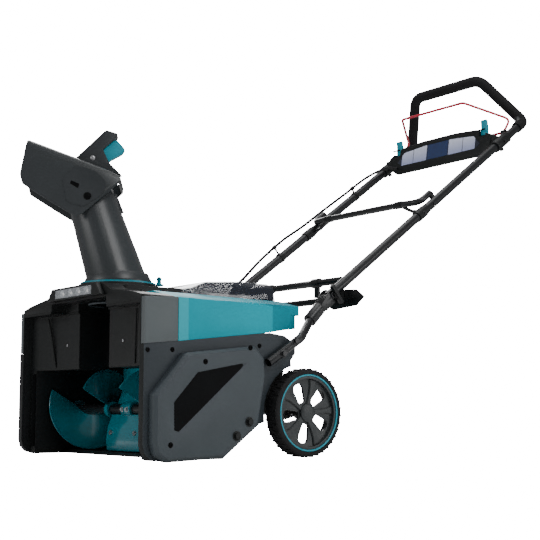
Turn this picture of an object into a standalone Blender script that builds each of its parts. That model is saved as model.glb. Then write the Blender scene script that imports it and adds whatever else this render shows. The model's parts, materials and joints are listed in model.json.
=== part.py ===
"""Walk-behind battery snow blower, modelled as an assembly of separate pieces.

Machine frame while modelling: X is sideways (+X is the operator's left), +Y runs to the rear, +Z is up,
the ground is Z = 0 and the front edge of the intake is Y = 0.  At the end the whole machine is slid along Y
so that the origin lies under the middle of its bounding box.  Every length is in metres.
"""
import math

import bmesh
import bpy
from mathutils import Matrix, Vector

# ---------------------------------------------------------------- driving dimensions
GAP = 0.0003                 # clearance between pieces that touch on the real machine

HOUSING_WIDTH = 0.56         # outer width of the main housing
HOUSING_RIM = 0.018          # width of the rim round the intake mouth
HOUSING_SKIN = 0.005         # moulded wall thickness of the compartment
MOUTH_TOP = 0.335            # top of the intake mouth at the sides
HOUSING_TOP = 0.340          # plane on which the front hood sits
GROUND_GAP = 0.003           # height of the housing's bottom edge
DECK_TOP = 0.400             # top of the chute seat

AUGER_RADIUS = 0.097
AUGER_Y = 0.148
AUGER_Z = 0.110
AUGER_HALF_LENGTH = 0.232
AUGER_CLEARANCE = 0.006      # between flights and scoop
SHAFT_RADIUS = 0.0125
FLIGHT_THICKNESS = 0.003
BEARING_RADIUS = 0.024
BEARING_WIDTH = 0.016
PILLAR_DEPTH = 0.024         # how far the bearing pillars stand in from the rim

MOTOR_Y = 0.268
MOTOR_Z = 0.207
MOTOR_RADIUS = 0.040
MOTOR_LENGTH = 0.110
MOTOR_PULLEY_RADIUS = 0.016
AUGER_PULLEY_RADIUS = 0.040
BELT_THICKNESS = 0.003
BELT_WIDTH = 0.010
BELT_CLEARANCE = 0.0006

CHUTE_Y = 0.107              # chute axis
CHUTE_YAW = -35.0            # degrees from straight ahead at rest
CHUTE_RADIUS = 0.072         # outside, at the foot
CHUTE_TAPER = 0.067          # loss of radius per metre of height
CHUTE_LEAN = 0.3275          # forward travel per metre of height
CHUTE_WALL = 0.0035
CHUTE_FOOT = 0.4050
THROAT_RADIUS = 0.0675
RING_RADIUS = 0.088
RING_THICKNESS = 0.004
PIN_FORWARD = 0.070          # deflector hinge pin, forward of the chute axis
PIN_Z = 0.600
DEFLECTOR_HALF = CHUTE_RADIUS - 0.003   # half width outside
DEFLECTOR_WALL = 0.003

SIDE_COVER_DEPTH = 0.025
SIDE_COVER_WALL = 0.003

WHEEL_RADIUS = 0.1025
WHEEL_WIDTH = 0.042
WHEEL_OUTER_X = 0.3125
WHEEL_Y = 0.432
AXLE_RADIUS = 0.006
RIM_RADIUS = WHEEL_RADIUS - 0.0185
RING_BAND = 0.0045           # radial width of the coloured wheel ring

TUBE_RADIUS = 0.0127
TUBE_WALL = 0.0016
TRACK = 0.226                # handle tubes' distance from the centre
PIVOT_Y = 0.578
PIVOT_Z = 0.391
HANDLE_ANGLE = 35.9          # degrees above the horizontal
LOWER_TUBE_END = 0.4300      # along the tube from the pivot
GRIP_RADIUS = 0.0165
BAIL_RADIUS = 0.004

COVER_WIDTH = 0.300          # battery cover
COVER_FRONT = 0.214
COVER_REAR = 0.465
COVER_HINGE_Z = 0.3800
PACK_SIZE = (0.076, 0.125, 0.074)

HALF = HOUSING_WIDTH / 2
MOUTH_HALF = HALF - HOUSING_RIM
PILLAR_HALF = MOUTH_HALF - PILLAR_DEPTH
RECESS_HALF = HALF - 0.014   # inner face of the corner blocks
SCOOP_RADIUS = AUGER_RADIUS + AUGER_CLEARANCE
WHEEL_INNER_X = WHEEL_OUTER_X - WHEEL_WIDTH
WHEEL_Z = WHEEL_RADIUS
SEAM_FRONT = 0.0865          # where corner block and top cover meet


# ---------------------------------------------------------------- modelling helpers
def clear_scene():
    """Remove whatever the scene holds."""
    for item in list(bpy.data.objects):
        bpy.data.objects.remove(item, do_unlink=True)


def material(name, colour, roughness, metallic=0.0, alpha=1.0):
    """Principled material of one colour."""
    made = bpy.data.materials.new(name)
    made.use_nodes = True
    shader = made.node_tree.nodes["Principled BSDF"]
    shader.inputs["Base Color"].default_value = (*colour, 1.0)
    shader.inputs["Roughness"].default_value = roughness
    shader.inputs["Metallic"].default_value = metallic
    shader.inputs["Alpha"].default_value = alpha
    made.diffuse_color = (*colour, alpha)
    return made


FINISHES = {
    "black_plastic": ((0.018, 0.020, 0.022), 0.45, 0.0, 1.0),
    "charcoal_plastic": ((0.065, 0.075, 0.085), 0.50, 0.0, 1.0),
    "grey_plastic": ((0.100, 0.115, 0.120), 0.55, 0.0, 1.0),
    "chute_plastic": ((0.035, 0.040, 0.045), 0.42, 0.0, 1.0),
    "teal_plastic": ((0.000, 0.350, 0.450), 0.30, 0.0, 1.0),
    "teal_paint": ((0.000, 0.200, 0.260), 0.30, 0.3, 1.0),
    "black_paint": ((0.020, 0.022, 0.025), 0.35, 0.3, 1.0),
    "steel": ((0.550, 0.560, 0.570), 0.35, 1.0, 1.0),
    "rubber": ((0.020, 0.020, 0.022), 0.80, 0.0, 1.0),
    "foam": ((0.015, 0.015, 0.016), 0.90, 0.0, 1.0),
    "smoke": ((0.040, 0.060, 0.090), 0.10, 0.0, 0.55),
    "lens": ((0.850, 0.880, 0.900), 0.05, 0.0, 0.40),
    "red_paint": ((0.500, 0.010, 0.040), 0.35, 0.0, 1.0),
    "label": ((0.480, 0.520, 0.720), 0.30, 0.0, 1.0),
}


def finish(obj, name):
    """Give an object its own copy of a finish."""
    made = material(obj.name + "_" + name, *FINISHES[name])
    obj.data.materials.clear()
    obj.data.materials.append(made)
    return obj


def as_object(name, bm):
    """Close a bmesh into an object whose faces point out."""
    bmesh.ops.remove_doubles(bm, verts=bm.verts[:], dist=0.00001)
    bmesh.ops.recalc_face_normals(bm, faces=bm.faces[:])
    mesh = bpy.data.meshes.new(name)
    bm.to_mesh(mesh)
    bm.free()
    obj = bpy.data.objects.new(name, mesh)
    bpy.context.scene.collection.objects.link(obj)
    return obj


def smooth(obj, angle=30.0):
    """Shade round faces smooth and keep the edges crisp."""
    obj.data.shade_smooth()
    obj.data.set_sharp_from_angle(angle=math.radians(angle))
    return obj


def at(axis, position, first, second):
    """Point at a position along an axis, with its other two coordinates in X, Y, Z order."""
    if axis == "X":
        return Vector((position, first, second))
    if axis == "Y":
        return Vector((first, position, second))
    return Vector((first, second, position))


def loft(name, loops):
    """Closed solid through loops that all have the same number of points."""
    bm = bmesh.new()
    rings = [[bm.verts.new(point) for point in loop] for loop in loops]
    count = len(rings[0])
    for low, high in zip(rings, rings[1:]):
        for k in range(count):
            after = (k + 1) % count
            bm.faces.new((low[k], low[after], high[after], high[k]))
    bm.faces.new(rings[0][::-1])
    bm.faces.new(rings[-1])
    return as_object(name, bm)


def prism(name, outline, axis, start, end):
    """Outline extruded along an axis."""
    loops = [[at(axis, level, *point) for point in outline] for level in (start, end)]
    return loft(name, loops)


def box(name, low, high):
    """Rectangular block between two corners."""
    outline = [(low[1], low[2]), (high[1], low[2]), (high[1], high[2]), (low[1], high[2])]
    return prism(name, outline, "X", low[0], high[0])


def circle(centre, radius, segments=32, start=0.0):
    """Points of a circle in a plane."""
    step = math.tau / segments
    return [(centre[0] + radius * math.cos(start + k * step),
             centre[1] + radius * math.sin(start + k * step)) for k in range(segments)]


def arc(centre, radius, start, end, steps):
    """Points of an arc, with angles in degrees."""
    points = []
    for k in range(steps + 1):
        angle = math.radians(start + (end - start) * k / steps)
        points.append((centre[0] + radius * math.cos(angle), centre[1] + radius * math.sin(angle)))
    return points


def rounded(corners, steps=3):
    """Outline with filleted corners; a corner is (a, b) when sharp and (a, b, radius) when round."""
    points = []
    count = len(corners)
    for k, corner in enumerate(corners):
        here = Vector(corner[:2])
        if len(corner) == 2:
            points.append(tuple(here))
            continue
        before = Vector(corners[k - 1][:2]) - here
        after = Vector(corners[(k + 1) % count][:2]) - here
        half = before.angle(after) / 2
        reach = min(corner[2] / math.tan(half), 0.45 * before.length, 0.45 * after.length)
        centre = here + (before.normalized() + after.normalized()).normalized() * (reach / math.cos(half))
        first = here + before.normalized() * reach - centre
        last = here + after.normalized() * reach - centre
        turn = first.angle_signed(last)
        for step in range(steps + 1):
            points.append(tuple(centre + Matrix.Rotation(-turn * step / steps, 2) @ first))
    return points


def inset(outline, distance):
    """Outline moved inwards by a distance (outwards when negative)."""
    count = len(outline)
    area = sum(outline[k - 1][0] * outline[k][1] - outline[k][0] * outline[k - 1][1] for k in range(count))
    side = 1.0 if area > 0 else -1.0
    points = []
    for k in range(count):
        here = Vector(outline[k])
        come = (here - Vector(outline[k - 1])).normalized()
        leave = (Vector(outline[(k + 1) % count]) - here).normalized()
        first = Vector((-come.y, come.x)) * side
        second = Vector((-leave.y, leave.x)) * side
        middle = (first + second).normalized()
        points.append(tuple(here + middle * (distance / max(0.35, middle.dot(first)))))
    return points


def turned(name, profile, axis, centre, segments=32):
    """Solid turned round an axis; the profile lists (position along the axis, radius) round a closed loop."""
    loops = [[at(axis, along, *point) for point in circle(centre, radius, segments)] for along, radius in profile]
    bm = bmesh.new()
    rings = [[bm.verts.new(point) for point in loop] for loop in loops]
    for k in range(len(rings)):
        low = rings[k]
        high = rings[(k + 1) % len(rings)]
        for j in range(segments):
            after = (j + 1) % segments
            bm.faces.new((low[j], low[after], high[after], high[j]))
    return smooth(as_object(name, bm))


def disc(name, axis, centre, profile, segments=32):
    """Solid of revolution with closed ends; the profile lists (position along the axis, radius)."""
    loops = [[at(axis, along, *point) for point in circle(centre, radius, segments)] for along, radius in profile]
    return smooth(loft(name, loops))


def boolean(target, tool, operation):
    """Combine two solids and keep the result in the target."""
    step = target.modifiers.new(operation.lower(), "BOOLEAN")
    step.operation = operation
    step.solver = "EXACT"
    step.object = tool
    evaluated = target.evaluated_get(bpy.context.evaluated_depsgraph_get())
    result = bpy.data.meshes.new_from_object(evaluated)
    target.modifiers.clear()
    target.data = result
    bpy.data.objects.remove(tool, do_unlink=True)
    return target


def cut(target, *tools):
    """Take solids away from the target."""
    for tool in tools:
        boolean(target, tool, "DIFFERENCE")
    return target


def join(target, *tools):
    """Weld solids onto the target."""
    for tool in tools:
        boolean(target, tool, "UNION")
    return target


def bent(points, radius, steps=4):
    """Route in space whose inner corners are rounded with one bend radius."""
    route = [Vector(points[0])]
    for before, here, after in zip(points, points[1:], points[2:]):
        corner = Vector(here)
        come = Vector(before) - corner
        leave = Vector(after) - corner
        half = come.angle(leave) / 2
        reach = min(radius / math.tan(half), 0.45 * come.length, 0.45 * leave.length)
        first = corner + come.normalized() * reach
        last = corner + leave.normalized() * reach
        for k in range(steps + 1):
            share = k / steps
            route.append(first * (1 - share) ** 2 + corner * 2 * share * (1 - share) + last * share ** 2)
    route.append(Vector(points[-1]))
    return route


def sweep(name, route, radius, wall=None, sides=12):
    """Round bar, or a tube when a wall is given, along a route."""
    frames = []
    normal = None
    for k, point in enumerate(route):
        ahead = route[min(k + 1, len(route) - 1)]
        behind = route[max(k - 1, 0)]
        tangent = (Vector(ahead) - Vector(behind)).normalized()
        if normal is None:
            helper = Vector((0, 0, 1)) if abs(tangent.z) < 0.9 else Vector((1, 0, 0))
            normal = tangent.cross(helper).normalized()
        normal = (normal - tangent * normal.dot(tangent)).normalized()
        frames.append((Vector(point), normal.copy(), tangent.cross(normal)))
    loops = []
    for size in ([radius] if wall is None else [radius, radius - wall]):
        loops.append([[point + (side * c + up * s) for c, s in circle((0, 0), size, sides)]
                      for point, side, up in frames])
    if wall is None:
        return smooth(loft(name, loops[0]), 50)
    bm = bmesh.new()
    rings = [[bm.verts.new(point) for point in loop] for loop in loops[0] + loops[1][::-1]]
    for k in range(len(rings)):
        low = rings[k]
        high = rings[(k + 1) % len(rings)]
        for j in range(sides):
            after = (j + 1) % sides
            bm.faces.new((low[j], low[after], high[after], high[j]))
    return smooth(as_object(name, bm), 50)


def pivot(name, position, parent=None, yaw=0.0):
    """Empty on a joint's axis, in machine coordinates."""
    empty = bpy.data.objects.new(name, None)
    bpy.context.scene.collection.objects.link(empty)
    empty.empty_display_size = 0.02
    local = Matrix.Translation(Vector(position)) @ Matrix.Rotation(math.radians(yaw), 4, "Z")
    if parent is not None:
        empty.parent = parent
        local = Matrix.Translation(Vector(position) - Vector(parent["centre"]))
        local = local @ Matrix.Rotation(math.radians(yaw), 4, "Z")
    empty.matrix_local = local
    empty["centre"] = tuple(position)
    return empty


def mount(obj, carrier):
    """Hang an object modelled in machine coordinates on a joint's empty, with its origin on that joint."""
    obj.data.transform(Matrix.Translation(-Vector(carrier["centre"])))
    obj.parent = carrier
    return obj


def mirrored(name, source):
    """Copy of an object on the other side of the machine."""
    mesh = source.data.copy()
    mesh.transform(Matrix.Scale(-1, 4, Vector((1, 0, 0))))
    mesh.flip_normals()
    obj = bpy.data.objects.new(name, mesh)
    bpy.context.scene.collection.objects.link(obj)
    return obj


SIDES = {"left": 1, "right": -1}


# ---------------------------------------------------------------- housing and covers
HOUSING_OUTLINE = [
    (0.000, HOUSING_TOP), (0.000, GROUND_GAP, 0.035), (0.206, GROUND_GAP), (0.310, 0.078), (0.335, 0.085),
    (0.406, 0.197), (0.402, 0.221), (0.416, 0.2395), (0.416, 0.261), (0.383, 0.279), (0.340, 0.284),
    (SEAM_FRONT, 0.2548), (SEAM_FRONT, HOUSING_TOP),
]


def seam_z(y):
    """Height of the housing's upper seam along the corner block."""
    return 0.2462 + 0.1000 * y


def build_housing():
    """Main moulded housing: intake scoop, throat, bearing pillars and the machine compartment."""
    body = prism("auger_housing", rounded(HOUSING_OUTLINE), "X", -HALF, HALF)
    throat_wall = circle((0, CHUTE_Y), THROAT_RADIUS + HOUSING_SKIN, 32)
    join(body, prism("throat_tube", throat_wall, "Z", 0.18, HOUSING_TOP))
    seam = [(-0.01, seam_z(-0.01)), (SEAM_FRONT, seam_z(SEAM_FRONT)), (SEAM_FRONT, 0.36), (-0.01, 0.36)]
    for sign in (1, -1):
        cut(body, prism("corner_recess", seam, "X", sign * RECESS_HALF, sign * (HALF + 0.01)))
    lip_depth = 0.045
    cut(body, box("mouth_front", (-MOUTH_HALF, -0.01, -0.01), (MOUTH_HALF, PILLAR_DEPTH, MOUTH_TOP)))
    cut(body, box("mouth_low", (-PILLAR_HALF, 0.01, -0.01), (PILLAR_HALF, 0.119, 0.204)))
    scoop = circle((AUGER_Y, AUGER_Z), SCOOP_RADIUS, 48)
    cut(body, prism("scoop_bore", scoop, "X", -PILLAR_HALF, PILLAR_HALF))
    upper = [(-MOUTH_HALF, 0.010), (MOUTH_HALF, 0.010), (0.180, lip_depth), (-0.180, lip_depth)]
    cut(body, prism("mouth_upper", upper, "Z", 0.204, MOUTH_TOP))
    cut(body, prism("throat_bore", circle((0, CHUTE_Y), THROAT_RADIUS, 32), "Z", 0.13, HOUSING_TOP + 0.01))
    cut(body, box("throat_front", (-THROAT_RADIUS, 0.030, 0.19), (THROAT_RADIUS, CHUTE_Y, HOUSING_TOP + 0.01)))
    cut(body, box("mouth_brow", (-0.126, -0.01, 0.30), (0.126, 0.0405, HOUSING_TOP + 0.01)))
    bay = arc((AUGER_Y, AUGER_Z), SCOOP_RADIUS + HOUSING_SKIN, 72, -30, 10)
    bay += [(0.300, 0.0830), (0.331, 0.0920), (0.400, 0.2000), (0.396, 0.2220), (0.410, 0.2430), (0.410, 0.2575),
            (0.383, 0.2730), (0.383, 0.3000), (0.180, 0.3000)]
    bay_tool = prism("bay", bay, "X", -HALF + HOUSING_SKIN, HALF - HOUSING_SKIN)
    for sign in (1, -1):
        arch = circle((WHEEL_Y, WHEEL_Z), WHEEL_RADIUS + 0.013, 32)
        cut(bay_tool, prism("arch_wall", arch, "X", sign * (WHEEL_INNER_X - 0.025), sign * 0.4))
    cut(bay_tool, prism("throat_keep", circle((0, CHUTE_Y), THROAT_RADIUS + HOUSING_SKIN, 32), "Z", 0, 0.4))
    cut(body, bay_tool)
    for sign in (1, -1):
        low = (sign * (THROAT_RADIUS + 0.015), SEAM_FRONT + HOUSING_SKIN, 0.224)
        high = (sign * (HALF - HOUSING_SKIN), 0.186, 0.31)
        cut(body, box("side_pocket", low, high))
        arch = circle((WHEEL_Y, WHEEL_Z), WHEEL_RADIUS + 0.008, 32)
        cut(body, prism("wheel_arch", arch, "X", sign * (WHEEL_INNER_X - 0.020), sign * 0.4))
        seat = circle((AUGER_Y, AUGER_Z), BEARING_RADIUS + GAP, 24)
        pocket = disc("drive_pocket", "X", (AUGER_Y, AUGER_Z), [(sign * (PILLAR_HALF + 0.0045), AUGER_RADIUS),
                                                                (sign * (HALF + 0.01), AUGER_RADIUS)], 40)
        cut(pocket, disc("bearing_boss", "X", (AUGER_Y, AUGER_Z), [(sign * 0.2, BEARING_RADIUS + 0.006),
                                                                   (sign * 0.3, BEARING_RADIUS + 0.006)], 24))
        cut(body, pocket)
        low = (sign * (THROAT_RADIUS + 0.015), 0.050, 0.224)
        high = (sign * (RECESS_HALF - 0.008), SEAM_FRONT + 0.01, HOUSING_TOP - HOUSING_SKIN)
        cut(body, box("brow_pocket", low, high))
        cut(body, prism("bearing_bore", seat, "X", sign * (PILLAR_HALF - 0.01), sign * (HALF + 0.01)))
    cut(body, prism("motor_shaft_hole", circle((MOTOR_Y, MOTOR_Z), 0.010, 16), "X", HALF - 0.02, HALF + 0.02))
    cut(body, prism("axle_slot", circle((WHEEL_Y, WHEEL_Z), AXLE_RADIUS + 0.002, 12), "X", -0.3, 0.3))
    return finish(body, "black_plastic")


def build_hood():
    """Front hood over the intake, with the seat of the chute ring."""
    edge = RECESS_HALF - GAP
    low = HOUSING_TOP + GAP
    front = [(-edge, low), (edge, low), (edge, 0.352), (0.233, 0.360), (0.140, 0.373), (0.104, 0.391),
             (-0.104, 0.391), (-0.140, 0.373), (-0.233, 0.360), (-edge, 0.352)]
    hood = prism("front_hood", front, "Y", 0.0, SEAM_FRONT - GAP)
    join(hood, box("tongue", (-0.130, 0.05, low), (0.130, 0.2000, 0.388)))
    join(hood, prism("chute_seat", circle((0, CHUTE_Y), 0.092, 40), "Z", low, DECK_TOP))
    cut(hood, prism("throat", circle((0, CHUTE_Y), THROAT_RADIUS, 32), "Z", 0.32, 0.42))
    cut(hood, box("brow", (-0.124, -0.01, 0.33), (0.124, 0.0400, 0.358)))
    cut(hood, box("throat_front", (-THROAT_RADIUS, 0.03, 0.33), (THROAT_RADIUS, CHUTE_Y, 0.358)))
    under_seat = box("under_seat", (-0.124, SEAM_FRONT, 0.33), (0.124, 0.195, 0.3840))
    cut(under_seat, prism("throat_keep", circle((0, CHUTE_Y), THROAT_RADIUS + HOUSING_SKIN, 32), "Z", 0.3, 0.4))
    cut(hood, under_seat)
    for sign in (1, -1):
        cut(hood, box("hollow", (sign * 0.130, 0.006, 0.33), (sign * 0.255, 0.080, 0.352)))
    return finish(hood, "black_plastic")


def build_lamp():
    """LED bar on the front of the hood, with its clear lens."""
    front = [(-0.122, 0.3625), (0.122, 0.3625), (0.100, 0.3905), (-0.100, 0.3905)]
    bar = prism("led_housing", front, "Y", -0.0140, -GAP)
    cut(bar, box("lens_pocket", (-0.082, -0.02, 0.3660), (0.082, -0.0060, 0.3860)))
    lens = box("led_lens", (-0.082 + GAP, -0.0140, 0.3660 + GAP), (0.082 - GAP, -0.0110, 0.3860 - GAP))
    return finish(bar, "black_plastic"), finish(lens, "lens")


def build_corner_blocks():
    """Grey covers on the housing's front corners."""
    rear = SEAM_FRONT - GAP
    outline = [(GAP, seam_z(GAP) + GAP), (rear, seam_z(rear) + GAP), (rear, 0.3500), (GAP, 0.3465)]
    left = prism("corner_block_left", outline, "X", RECESS_HALF + GAP, HALF)
    right = mirrored("corner_block_right", left)
    return finish(left, "grey_plastic"), finish(right, "grey_plastic")


def build_top_cover():
    """Coloured shell over the machine compartment, open below and at the battery bay."""
    wall = 0.0035
    front = SEAM_FRONT + GAP
    profile = [(front, 0.2553), (0.340, 0.2845), (0.421, 0.2970), (0.455, 0.3000), (0.455, 0.3360),
               (0.420, 0.3415), (0.347, 0.3460), (front, 0.3500)]
    plan = [(-HALF, front), (HALF, front), (HALF, 0.347), (0.250, 0.440), (0.235, 0.455), (-0.235, 0.455),
            (-0.250, 0.440), (-HALF, 0.347)]
    shell = prism("top_cover", profile, "X", -HALF, HALF)
    boolean(shell, prism("plan", plan, "Z", 0.2, 0.4), "INTERSECT")
    deck = [(front, 0.340), (0.450, 0.325), (0.450, 0.352), (0.440, 0.368), (front, 0.372)]
    crown = [(-0.255, 0.330), (0.255, 0.330), (0.255, 0.352), (0.180, 0.372), (-0.180, 0.372), (-0.255, 0.352)]
    rise = prism("crown", deck, "X", -0.26, 0.26)
    boolean(rise, prism("crown_front", crown, "Y", 0.0, 0.5), "INTERSECT")
    join(shell, rise)
    inner_profile = [(front - 0.01, 0.23), (0.60, 0.23), (0.60, 0.335 - wall), (0.4515, 0.335 - wall),
                     (0.4515, 0.336), (0.347, 0.3425), (front - 0.01, 0.3465)]
    inner_plan = inset(plan, wall)
    inner_plan[0] = (-HALF + wall, front - 0.01)
    inner_plan[1] = (HALF - wall, front - 0.01)
    hollow = prism("hollow", inner_profile, "X", -HALF, HALF)
    boolean(hollow, prism("hollow_plan", inner_plan, "Z", 0.2, 0.4), "INTERSECT")
    cut(shell, hollow)
    crown_low = [(-0.248, 0.325), (0.248, 0.325), (0.248, 0.350), (0.178, 0.3685), (-0.178, 0.3685),
                 (-0.248, 0.350)]
    deck_low = [(front - 0.01, 0.330), (0.4465, 0.330), (0.4465, 0.350), (0.437, 0.3645), (front - 0.01, 0.3685)]
    under = prism("under_crown", deck_low, "X", -0.25, 0.25)
    boolean(under, prism("under_front", crown_low, "Y", 0.0, 0.5), "INTERSECT")
    cut(shell, under)
    cut(shell, box("tongue_gap", (-0.1303, 0.05, 0.33), (0.1303, 0.2003, 0.42)))
    cut(shell, box("battery_bay", (-0.1150, 0.2350, 0.33), (0.1150, 0.4300, 0.42)))
    return finish(shell, "teal_plastic")


COVER_OUTLINE = [
    (0.0125, 0.041), (0.0200, 0.015), (0.0460, 0.0005), (0.1950, 0.0060), (0.2900, 0.0790), (0.3100, 0.1800),
    (0.3070, 0.2250), (0.2810, 0.2505), (0.0935, 0.2300), (0.0125, 0.1410),
]
FIELD_OUTLINE = [(0.120, 0.1885), (0.253, 0.2130), (0.072, 0.0640), (0.061, 0.0670), (0.060, 0.1250)]


def build_side_cover(name):
    """Side panel that carries the skid edge and hides the belt drive."""
    inner = HALF + GAP
    outer = HALF + SIDE_COVER_DEPTH
    outline = rounded([(*point, 0.012) for point in COVER_OUTLINE], 2)
    levels = [(inner, 0.0), (outer - 0.008, 0.0), (outer, 0.007)]
    panel = loft(name, [[at("X", level, *p) for p in inset(outline, step)] for level, step in levels])
    cavity = inset(outline, 0.013)
    cut(panel, prism("cavity", cavity, "X", inner - 0.01, outer - SIDE_COVER_WALL))
    cut(panel, prism("badge_field", FIELD_OUTLINE, "X", outer - 0.0012, outer + 0.01))
    return finish(panel, "charcoal_plastic")


def build_scraper():
    """Replaceable scraper bar under the scoop's front edge."""
    outline = [(0.1000, 0.0045), (0.1186, 0.0020), (0.1186, 0.0100), (0.1020, 0.0090)]
    bar = prism("scraper_bar", outline, "X", -PILLAR_HALF + GAP, PILLAR_HALF - GAP)
    return finish(bar, "black_plastic")


# ---------------------------------------------------------------- auger and drive
def flight(name, sign):
    """One helical flight, wound towards the middle of the auger."""
    steps = 36
    turns = 1.0
    inner = SHAFT_RADIUS + GAP
    start = AUGER_HALF_LENGTH - FLIGHT_THICKNESS
    end = 0.078
    loops = []
    for k in range(steps + 1):
        share = k / steps
        angle = math.radians(150) + share * turns * math.tau
        along = start + (end - start) * share
        ring = []
        for radius, side in ((inner, 0), (AUGER_RADIUS, 0), (AUGER_RADIUS, 1), (inner, 1)):
            ring.append(Vector((sign * (along + side * FLIGHT_THICKNESS),
                                AUGER_Y + radius * math.cos(angle), AUGER_Z + radius * math.sin(angle))))
        loops.append(ring)
    return finish(smooth(loft(name, loops)), "teal_paint")


def build_auger():
    """Shaft, two flights, the centre paddle and the driven pulley."""
    centre = (AUGER_Y, AUGER_Z)
    tip = HALF + SIDE_COVER_DEPTH - SIDE_COVER_WALL - 0.003
    shaft_profile = [(-HALF - 0.004, 0.0095), (-PILLAR_HALF - 0.004, 0.0095), (-PILLAR_HALF - 0.004, SHAFT_RADIUS),
                     (PILLAR_HALF + 0.004, SHAFT_RADIUS), (PILLAR_HALF + 0.004, 0.0095), (tip, 0.0095)]
    shaft = finish(disc("auger_shaft", "X", centre, shaft_profile, 24), "black_paint")
    flights = [flight("auger_flight_" + side, sign) for side, sign in SIDES.items()]
    loops = []
    blade = 0.003
    reach = AUGER_RADIUS - 0.003
    curve = [(SHAFT_RADIUS + 0.002, 0.0), (0.045, 0.004), (0.075, 0.016), (reach, 0.030)]
    for radius, lag in curve:
        loops.append([(radius, lag - blade / 2), (radius, lag + blade / 2)])
    paddle = None
    for turn in (60, 240):
        angle = math.radians(turn)
        profile = []
        for row in [pair[0] for pair in loops] + [pair[1] for pair in loops[::-1]]:
            radius, lag = row
            profile.append((AUGER_Y + radius * math.cos(angle) - lag * math.sin(angle),
                            AUGER_Z + radius * math.sin(angle) + lag * math.cos(angle)))
        plate = prism("auger_paddle", profile, "X", -0.070, 0.070)
        paddle = plate if paddle is None else join(paddle, plate)
        if paddle is plate:
            hub = disc("hub", "X", centre, [(-0.020, SHAFT_RADIUS + 0.006), (0.020, SHAFT_RADIUS + 0.006)], 24)
            join(paddle, hub)
    cut(paddle, prism("hub_bore", circle(centre, SHAFT_RADIUS + GAP, 24), "X", -0.2, 0.2))
    finish(paddle, "teal_paint")
    low = HALF + 0.0045
    high = low + BELT_WIDTH + 0.003
    pulley_profile = [(low, 0.0098), (low, AUGER_PULLEY_RADIUS), (high, AUGER_PULLEY_RADIUS), (high, 0.0098)]
    pulley = finish(turned("auger_pulley", pulley_profile, "X", centre, 32), "steel")
    return [shaft, *flights, paddle, pulley]


def build_bearings():
    """Ball bearings in the housing's pillars."""
    made = []
    low = PILLAR_HALF + 0.0045
    profile = [(low, 0.0098), (low, BEARING_RADIUS), (low + BEARING_WIDTH, BEARING_RADIUS),
               (low + BEARING_WIDTH, 0.0098)]
    for side, sign in SIDES.items():
        ring = [(sign * along, radius) for along, radius in profile]
        made.append(finish(turned("bearing_" + side, ring, "X", (AUGER_Y, AUGER_Z), 24), "steel"))
    return made


def build_drive():
    """Motor, its rotor with the small pulley, the belt and the controller."""
    centre = (MOTOR_Y, MOTOR_Z)
    end = HALF - HOUSING_SKIN - GAP
    start = end - MOTOR_LENGTH
    case = disc("motor", "X", centre, [(start, MOTOR_RADIUS - 0.006), (start + 0.006, MOTOR_RADIUS),
                                       (end, MOTOR_RADIUS)], 32)
    cut(case, prism("rotor_bore", circle(centre, 0.0083, 16), "X", start + 0.02, end + 0.01))
    low = HALF + 0.0045
    high = low + BELT_WIDTH + 0.003
    rotor_profile = [(start + 0.0205, 0.0080), (low, 0.0080), (low, MOTOR_PULLEY_RADIUS),
                     (high, MOTOR_PULLEY_RADIUS), (high, 0.0060), (high + 0.003, 0.0060)]
    rotor = finish(disc("motor_rotor", "X", centre, rotor_profile, 24), "steel")
    far = Vector((AUGER_Y, AUGER_Z))
    near = Vector(centre)
    span = near - far
    heading = math.degrees(math.atan2(span.y, span.x))
    opening = math.degrees(math.acos((AUGER_PULLEY_RADIUS - MOTOR_PULLEY_RADIUS) / span.length))

    def loop(extra):
        big = arc(far, AUGER_PULLEY_RADIUS + extra, heading + opening, heading + 360 - opening, 20)
        small = arc(near, MOTOR_PULLEY_RADIUS + extra, heading - opening, heading + opening, 10)
        return big + small

    edge = low + 0.0015
    belt = prism("drive_belt", loop(BELT_CLEARANCE + BELT_THICKNESS), "X", edge, edge + BELT_WIDTH)
    cut(belt, prism("belt_inside", loop(BELT_CLEARANCE), "X", edge - 0.01, edge + BELT_WIDTH + 0.01))
    unit = box("controller", (-0.190, 0.2680, 0.150), (-0.060, 0.3300, 0.205))
    return [finish(case, "steel"), rotor, finish(smooth(belt), "rubber"), finish(unit, "black_plastic")]


# ---------------------------------------------------------------- batteries
def build_batteries():
    """Open tray in the bay and two packs that slide up out of it."""
    floor = 0.2900
    rim = 0.3800
    width = 0.2290
    tray = box("battery_tray", (-width / 2, 0.2360, floor), (width / 2, 0.4290, rim))
    cut(tray, box("well", (-width / 2 + 0.003, 0.2390, floor + 0.003), (width / 2 - 0.003, 0.4260, rim + 0.01)))
    packs = []
    for side, sign in SIDES.items():
        centre_x = sign * 0.054
        low = Vector((centre_x - PACK_SIZE[0] / 2, 0.2450, floor + 0.0040))
        high = low + Vector(PACK_SIZE)
        pack = box("battery_pack_" + side, low, high)
        cap = Vector((0.008, 0.012, 0))
        join(pack, box("cap", low + cap + Vector((0, 0, PACK_SIZE[2] - 0.002)),
                       high - cap + Vector((0, 0, 0.008))))
        packs.append(finish(pack, "black_plastic"))
    return [finish(tray, "black_plastic"), *packs]


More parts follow.
